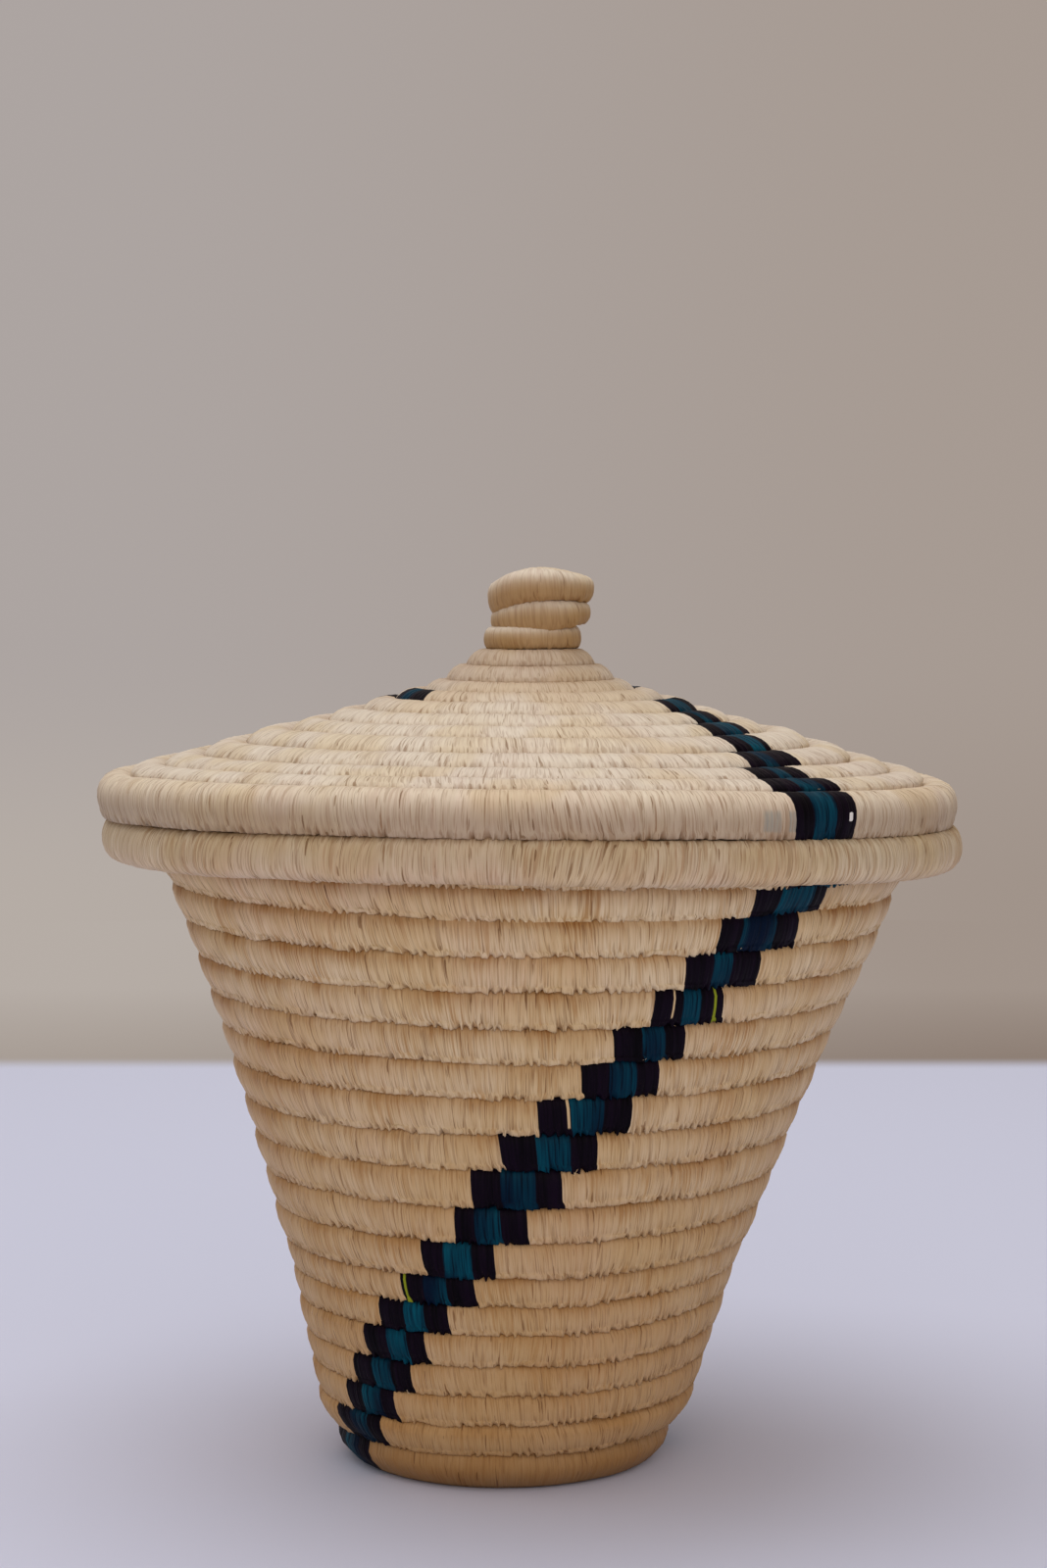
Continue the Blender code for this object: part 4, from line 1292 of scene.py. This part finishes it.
class BASKET_OT_body(bpy.types.Operator):
    """Wrap the base and the wall"""
    bl_idname = "basket.body"
    bl_label = "Wrap body"

    def execute(self, context):
        wraps = settings()[1]
        rows = base_rows() + shown_wall_rows()
        columns = columns_of(rows, wraps.column)
        place = columns["place"] - BASE_ROWS
        columns["centre"][:, 1] -= FOOT_FORWARD * np.clip(1.0 - np.abs(place), 0.0, 1.0)
        visible = len(WALL_STRIPE_PIXELS)
        columns["half"] += MOUTH_STRETCH * np.clip(place - visible + 1.0, 0.0, 1.0)
        dip(columns, np.cos(columns["turn"]), np.interp(place, *WALL_TILTS),
            np.interp(place, *WALL_CURVES))
        edges = stripe_turns(shown_wall_rows()[:-1], WALL_STRIPE_PIXELS[::-1], WALL_STRIPE_SHARES)
        edges = np.concatenate([edges, edges[-1:] + (edges[-1:] - edges[-2:-1])])
        dye = dye_coordinate(columns["turn"], place, edges)
        dye[place < -0.5] = NO_DYE
        lime, pale = (
            mark_values(columns, "wall", kind, rows, lambda row: BASE_ROWS + visible - row)
            for kind in ("lime", "pale"))
        marks = {"dye": dye, "lime": lime, "pale": pale}
        # The wall's rows get painted shade on their tucked upper side and at the foot's lowest edge
        material = raffia_material("raffia_wraps", brown_edge=0.95, brown_foot=0.75)
        seam = int(np.searchsorted(columns["turn"], STEP_START + STEP_SWEEP + FULL_TURN * BASE_ROWS))
        base = cut_columns(columns, 0, seam + 1)
        piece = wrap_piece("base_wrap", base, material, marks={
            key: values[:seam + 1] for key, values in marks.items()})
        finish_piece(piece, "basket", ["base_coil"])
        wall = cut_columns(columns, seam, None)
        wall_marks = {key: values[seam:] for key, values in marks.items()}
        for number, (part, part_marks) in enumerate(stretches(wall, wall_marks, WALL_PARTS), 1):
            piece = wrap_piece("wall_wrap_%d" % number, part, material, marks=part_marks)
            finish_piece(piece, "basket", ["wall_coil"])
        return {"FINISHED"}


class BASKET_OT_rims(bpy.types.Operator):
    """Wrap the body's rim and the lid's rim"""
    bl_idname = "basket.rims"
    bl_label = "Wrap rims"

    def execute(self, context):
        wraps = settings()[1]
        # Both rims get painted shade on the stitches' side; their paling is partly real fading and partly
        # painted cool light from above
        material = raffia_material(
            "rim_raffia", faded_and_lit=0.12, low=(0.77, 0.765, 0.75), low_from=-0.8, brown_edge=0.1,
            lines=0.85)
        lid_material = raffia_material(
            "lid_rim_raffia", faded_and_lit=0.35, low=(0.68, 0.63, 0.575), low_from=-0.8, brown_edge=0.0,
            lines=0.8)
        up = math.pi / 2.0
        rim = columns_of([rim_row()], wraps.column, facing=up, closed=True)
        dip(rim, np.cos(rim["turn"]), RIM_TILT, RIM_CURVE, RIM_STRETCH)
        piece = wrap_piece("rim_wrap", rim, material, toward=1, closed=True, **RIM_WRAPS)
        finish_piece(piece, "basket", ["rim_coil"])
        lid_rim = columns_of([lid_rim_row()], wraps.column, facing=up, closed=True)
        dip(lid_rim, np.cos(lid_rim["turn"]), RIM_TILT, RIM_CURVE, RIM_STRETCH)
        edges = stripe_turns([lid_rim_row()], [LID_RIM_STRIPE_PIXELS], LID_RIM_STRIPE_SHARES)
        marks = {"dye": dye_coordinate(lid_rim["turn"], lid_rim["place"], edges)}
        for kind in ("bleed", "fleck"):
            marks[kind] = mark_values(lid_rim, "lid_rim", kind, [lid_rim_row()], lambda row: row)
        piece = wrap_piece("lid_rim_wrap", lid_rim, lid_material, closed=True, marks=marks,
                           Seed=wraps.seed + PIECE_SEEDS["lid rim"], **LID_RIM_WRAPS)
        finish_piece(piece, "lid", ["lid_rim_coil"])
        return {"FINISHED"}


class BASKET_OT_lid(bpy.types.Operator):
    """Wrap the lid's rows and its seat ring"""
    bl_idname = "basket.lid"
    bl_label = "Wrap lid"

    def execute(self, context):
        wraps = settings()[1]
        # The lid's paling is partly real fading and partly painted cool light from above
        material = raffia_material("lid_raffia", faded_and_lit=0.5, brown_edge=0.2, handled=1.0, lines=0.7)
        rows = lid_rows()
        columns = columns_of(rows, wraps.column)
        columns["centre"][:, 2] -= np.interp(columns["place"], np.arange(len(rows)), LID_DROPS)
        near_rim = (np.hypot(*columns["centre"][:, :2].T) / rim_row()[0]) ** 2
        side = columns["centre"][:, 0] / rim_row()[0]
        dip(columns, side, RIM_TILT * near_rim, RIM_CURVE * near_rim, RIM_STRETCH)
        edges = stripe_turns(rows, LID_STRIPE_PIXELS, LID_STRIPE_SHARES)
        edges = np.concatenate([edges, edges[-1:] - edges[-1:, :1] + HIDDEN_STRIPE_TURN])
        dye = dye_coordinate(columns["turn"], columns["place"], edges, BACK_STRIPE_TURN)
        dye[columns["place"] > len(edges) - 0.5] = NO_DYE
        for number, (part, marks) in enumerate(stretches(columns, {"dye": dye}, LID_PARTS), 1):
            piece = wrap_piece("lid_wrap_%d" % number, part, material, marks=marks,
                               Seed=wraps.seed + PIECE_SEEDS["lid"], **LID_WRAPS)
            finish_piece(piece, "lid", ["lid_coil"])
        seat = columns_of(seat_rows(), wraps.column)
        dip(seat, seat["centre"][:, 0] / rim_row()[0], RIM_TILT, RIM_CURVE)
        piece = wrap_piece("lid_seat_wrap", seat, material,
                           Seed=wraps.seed + PIECE_SEEDS["seat"], **SEAT_WRAPS)
        finish_piece(piece, "lid", ["lid_seat_ring"])
        return {"FINISHED"}


class BASKET_OT_knob(bpy.types.Operator):
    """Wrap the knob and close its top and foot"""
    bl_idname = "basket.knob"
    bl_label = "Wrap knob"

    def execute(self, context):
        wraps = settings()[1]
        # The knob's lower side is painted shade over browner worn raffia; its paling is partly real fading
        # and partly painted light from above
        material = raffia_material(
            "knob_raffia_wraps", faded_and_lit=0.45, low=(0.57, 0.43, 0.26), low_from=-0.9, brown_edge=0.0,
            lines=0.4)
        columns = columns_of(knob_rows(), wraps.column, KNOB_STEP_START, KNOB_STEP_SWEEP)
        side = np.cos(columns["turn"])
        top = smooth(columns["place"] - 1.0)
        middle = 1.0 - np.abs(columns["place"] - 1.0)
        left = np.minimum(side, 0.0)
        both, far_left = KNOB_TOP_DROOPS
        columns["centre"][:, 0] += top * KNOB_TOP_SHIFT + middle * KNOB_MIDDLE_SHIFT
        columns["centre"][:, 2] -= top * (both * side ** 2 + far_left * left ** 4 - KNOB_TOP_RISE)
        columns["centre"][:, 2] -= middle * left ** 2 * KNOB_MIDDLE_DROOP
        thinner, tapered, flatter = KNOB_TOP_TAPER_SHARES
        fatter, pinched, prouder = KNOB_MIDDLE_BULGE_SHARES
        columns["half"] *= 1.0 - top * (thinner + side * tapered) + middle * (fatter - side ** 2 * pinched)
        columns["thick"] *= 1.0 - top * side * flatter + middle * prouder
        piece = wrap_piece("knob_wrap", columns, material, **KNOB_WRAPS)
        finish_piece(piece, "lid", ["knob_coil"])
        core_low, core_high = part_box("knob_core")
        shift = (core_low.x + core_high.x) / 2.0
        top = core_high.z - CROWN_DROP
        heights = (top, top + CROWN_CENTRE_RISE)
        rows = [(*row, shift) for row in zip(CROWN_RADII, heights, CROWN_THICKNESSES)]
        piece = self.whorl("knob_crown", rows, math.pi, CROWN_DEPTH, material)
        finish_piece(piece, "lid", None)
        foot = core_low.z + LID_CENTRE_DEPTH
        rows = [(radius, foot, LID_CENTRE_THICKNESS, shift) for radius in LID_CENTRE_RADII]
        piece = self.whorl("lid_centre", rows, 0.0, LID_CENTRE_DEPTH, material)
        finish_piece(piece, "lid", ["knob_core"])
        half = BUTTON_HEIGHT / 2.0
        rows = [
            (radius, half, thickness, BASE_SHIFT)
            for radius, thickness in zip(BUTTON_RADII, BUTTON_THICKNESSES)
        ]
        piece = self.whorl("base_button", rows, 0.0, half, bpy.data.materials["raffia_wraps"])
        finish_piece(piece, "basket", ["base_start"])
        return {"FINISHED"}

    def whorl(self, name, rows, facing, thick, material):
        """A small flat spiral that closes a centre."""
        wraps = settings()[1]
        columns = columns_of(rows, wraps.column, facing=facing)
        columns["thick"] = np.full_like(columns["thick"], thick)
        return wrap_piece(name, columns, material, **WHORL_WRAPS)


class BASKET_OT_fibres(bpy.types.Operator):
    """Add frayed ends along the stitches"""
    bl_idname = "basket.fibres"
    bl_label = "Fray ends"

    def execute(self, context):
        colours, wraps, _ = settings()
        material = fibre_material("raffia_fibres", colours.tan, colours.pale)
        tree = shared_tree("frayed_ends", fibre_tree)
        for name, body, sources in (
            ("frayed_ends_basket", "basket", ("wall_wrap_1", "wall_wrap_2", "wall_wrap_3", "wall_wrap_4")),
            ("frayed_ends_lid", "lid", ("lid_rim_wrap", "lid_wrap_1", "lid_wrap_2")),
        ):
            made = []
            for number, source in enumerate(sources):
                mesh = bpy.data.objects[source].data.copy()
                made.append(run_tree("%s_%d" % (name, number), mesh, tree, {
                    "Density": FRAYED_DENSITY, "Length": wraps.end_length, "Width": wraps.end_width,
                    "Seed": wraps.seed + number, "Material": material}))
            context.view_layer.objects.active = made[0]
            for obj in made:
                obj.select_set(True)
            bpy.ops.object.join()
            made[0].name = name
            made[0].data.name = name
            made[0].select_set(False)
            finish_piece(made[0], body, None)
        return {"FINISHED"}


# The stage: lamps in metres, then where along a sight line or across the floor a colour changes
FLOOR_RADIUS = 1.7
FLOOR_CORNERS = 96
LIT_POINT = (0.0, 0.0, 0.15)
TOP_LAMP_PLACE = (-0.35, 0.15, 2.6)
TOP_LAMP_SIZE = 2.3
TOP_LAMP_COLOUR = (0.93, 0.97, 1.0)
FRONT_LAMP_PLACE = (0.15, -1.9, 0.8)
FRONT_LAMP_SIZE = 1.8
FRONT_LAMP_COLOUR = (1.0, 0.96, 0.9)
ROOM_LIGHT_COLOUR = (1.0, 0.965, 0.92, 1.0)
WALL_SIDES = (-0.16, 0.16)
WALL_HEIGHTS = (-0.1, -0.02)
FLOOR_SIDES = (-0.35, 0.35)
FLOOR_EDGE = (0.84, 0.89)
# Painted shade at the foot of the wall behind, where it meets the table, and how much of it shows on the
# left
WALL_FOOT = (0.86, 1.22)
WALL_FOOT_SHADE_TINT = (0.74, 0.70, 0.67)
LEFT_FOOT_SHARE = 0.65
FLOOR_ROUGHNESS = 0.9
SENSOR_WIDTH = 36.0


class BASKET_OT_stage(bpy.types.Operator):
    """Set the floor, the lamps and the camera"""
    bl_idname = "basket.stage"
    bl_label = "Set stage"

    def execute(self, context):
        scene = context.scene
        scene.view_settings.view_transform = "Standard"
        stage = scene.basket_stage
        self.floor(stage)
        self.lamp("top_lamp", TOP_LAMP_PLACE, TOP_LAMP_SIZE, stage.top_power, TOP_LAMP_COLOUR)
        self.lamp("front_lamp", FRONT_LAMP_PLACE, FRONT_LAMP_SIZE, stage.front_power, FRONT_LAMP_COLOUR)
        scene.world = self.world(stage)
        scene.camera = self.camera()
        return {"FINISHED"}

    def floor(self, stage):
        bpy.ops.mesh.primitive_circle_add(
            vertices=FLOOR_CORNERS, radius=FLOOR_RADIUS, fill_type="NGON", location=(0, 0, 0))
        floor = bpy.context.active_object
        floor.name = "floor"
        floor.data.materials.append(self.floor_material(stage))

    def lamp(self, name, place, size, power, colour):
        """A large square lamp that looks at the basket."""
        data = bpy.data.lights.new(name, "AREA")
        data.energy = power
        data.size = size
        data.color = colour
        lamp = bpy.data.objects.new(name, data)
        bpy.context.scene.collection.objects.link(lamp)
        lamp.location = place
        aim = [end - start for start, end in zip(place, LIT_POINT)]
        from_up = math.atan2(math.hypot(aim[0], aim[1]), -aim[2])
        lamp.rotation_euler = (from_up, 0.0, math.atan2(aim[1], aim[0]) - math.pi / 2.0)

    def world(self, stage):
        """The background as it is seen, and an even light for everything else."""
        world = bpy.data.worlds.new("studio")
        world.use_nodes = True
        tree = world.node_tree
        across, _, up = split(result(tree, "ShaderNodeTexCoord", "Generated"))
        side = ramp(across, *WALL_SIDES)
        high = blend_colours(tree, tuple(stage.wall_left), tuple(stage.wall_right), side)
        low = blend_colours(tree, tuple(stage.low_left), tuple(stage.low_right), side)
        back = tree.nodes["Background"]
        back.inputs["Strength"].default_value = 1.0
        feed(tree, back.inputs["Color"], blend_colours(tree, low, high, ramp(up, *WALL_HEIGHTS)))
        light = add_node(tree, "ShaderNodeBackground", {
            "Color": ROOM_LIGHT_COLOUR, "Strength": stage.world_strength})
        self.choose(tree, seen_ray(tree), light, back, tree.nodes["World Output"])
        return world

    def floor_material(self, stage):
        """A pale table; past its far edge the camera sees the wall behind, with painted shade where they
        meet.
        """
        material, tree, shader = new_material("floor")
        shader.inputs["Base Color"].default_value = (*stage.floor, 1.0)
        shader.inputs["Roughness"].default_value = FLOOR_ROUGHNESS
        across, back, _ = split(result(tree, "ShaderNodeTexCoord", "Object"))
        side = ramp(across, *FLOOR_SIDES)
        wall = blend_colours(tree, tuple(stage.low_left), tuple(stage.low_right), side)
        # Painted shade where the wall behind meets the table
        meet = ramp(back, *WALL_FOOT, 1.0, 0.0, "LINEAR")
        wall = tinted(tree, wall, WALL_FOOT_SHADE_TINT, meet * mixed(LEFT_FOOT_SHARE, 1.0, side))
        plain = add_node(tree, "ShaderNodeEmission", {"Color": wall, "Strength": 1.0})
        beyond = ramp(back, *FLOOR_EDGE) * seen_ray(tree)
        self.choose(tree, beyond, shader, plain, tree.nodes["Material Output"])
        return material

    def choose(self, tree, share, first, second, output):
        """Sends the first shader to the output, or the second as far as share says."""
        mix = add_node(tree, "ShaderNodeMixShader", {0: share})
        tree.links.new(first.outputs[0], mix.inputs[1])
        tree.links.new(second.outputs[0], mix.inputs[2])
        tree.links.new(mix.outputs[0], output.inputs[0])

    def camera(self):
        """The camera that took the photograph."""
        data = bpy.data.cameras.new("camera")
        data.sensor_width = SENSOR_WIDTH
        data.lens = FOCAL_PIXELS / PHOTO_HEIGHT * data.sensor_width
        camera = bpy.data.objects.new("camera", data)
        bpy.context.scene.collection.objects.link(camera)
        camera.location = (EYE_SHIFT, -VIEW_DISTANCE, EYE_HEIGHT)
        camera.rotation_euler = (math.pi / 2.0 - VIEW_TILT, 0.0, 0.0)
        return camera


class BASKET_PT_panel(bpy.types.Panel):
    """Lists the steps and the settings"""
    bl_label = "Basket"
    bl_idname = "BASKET_PT_panel"
    bl_space_type = "VIEW_3D"
    bl_region_type = "UI"
    bl_category = "Basket"

    def draw(self, context):
        layout = self.layout
        for step in STEPS:
            layout.operator("basket." + step)
        for group in settings():
            box = layout.box()
            for name in group.__annotations__:
                box.prop(group, name)


STEPS = ("body", "rims", "lid", "knob", "fibres", "stage")
CLASSES = (
    BasketColours, BasketWraps, BasketStage, BASKET_OT_body, BASKET_OT_rims, BASKET_OT_lid,
    BASKET_OT_knob, BASKET_OT_fibres, BASKET_OT_stage, BASKET_PT_panel,
)


def register():
    for item in CLASSES:
        bpy.utils.register_class(item)
    bpy.types.Scene.basket_colours = PointerProperty(type=BasketColours)
    bpy.types.Scene.basket_wraps = PointerProperty(type=BasketWraps)
    bpy.types.Scene.basket_stage = PointerProperty(type=BasketStage)


def unregister():
    del bpy.types.Scene.basket_stage
    del bpy.types.Scene.basket_wraps
    del bpy.types.Scene.basket_colours
    for item in reversed(CLASSES):
        bpy.utils.unregister_class(item)


def main():
    register()
    for step in STEPS:
        getattr(bpy.ops.basket, step)()


if __name__ == "__main__":
    main()
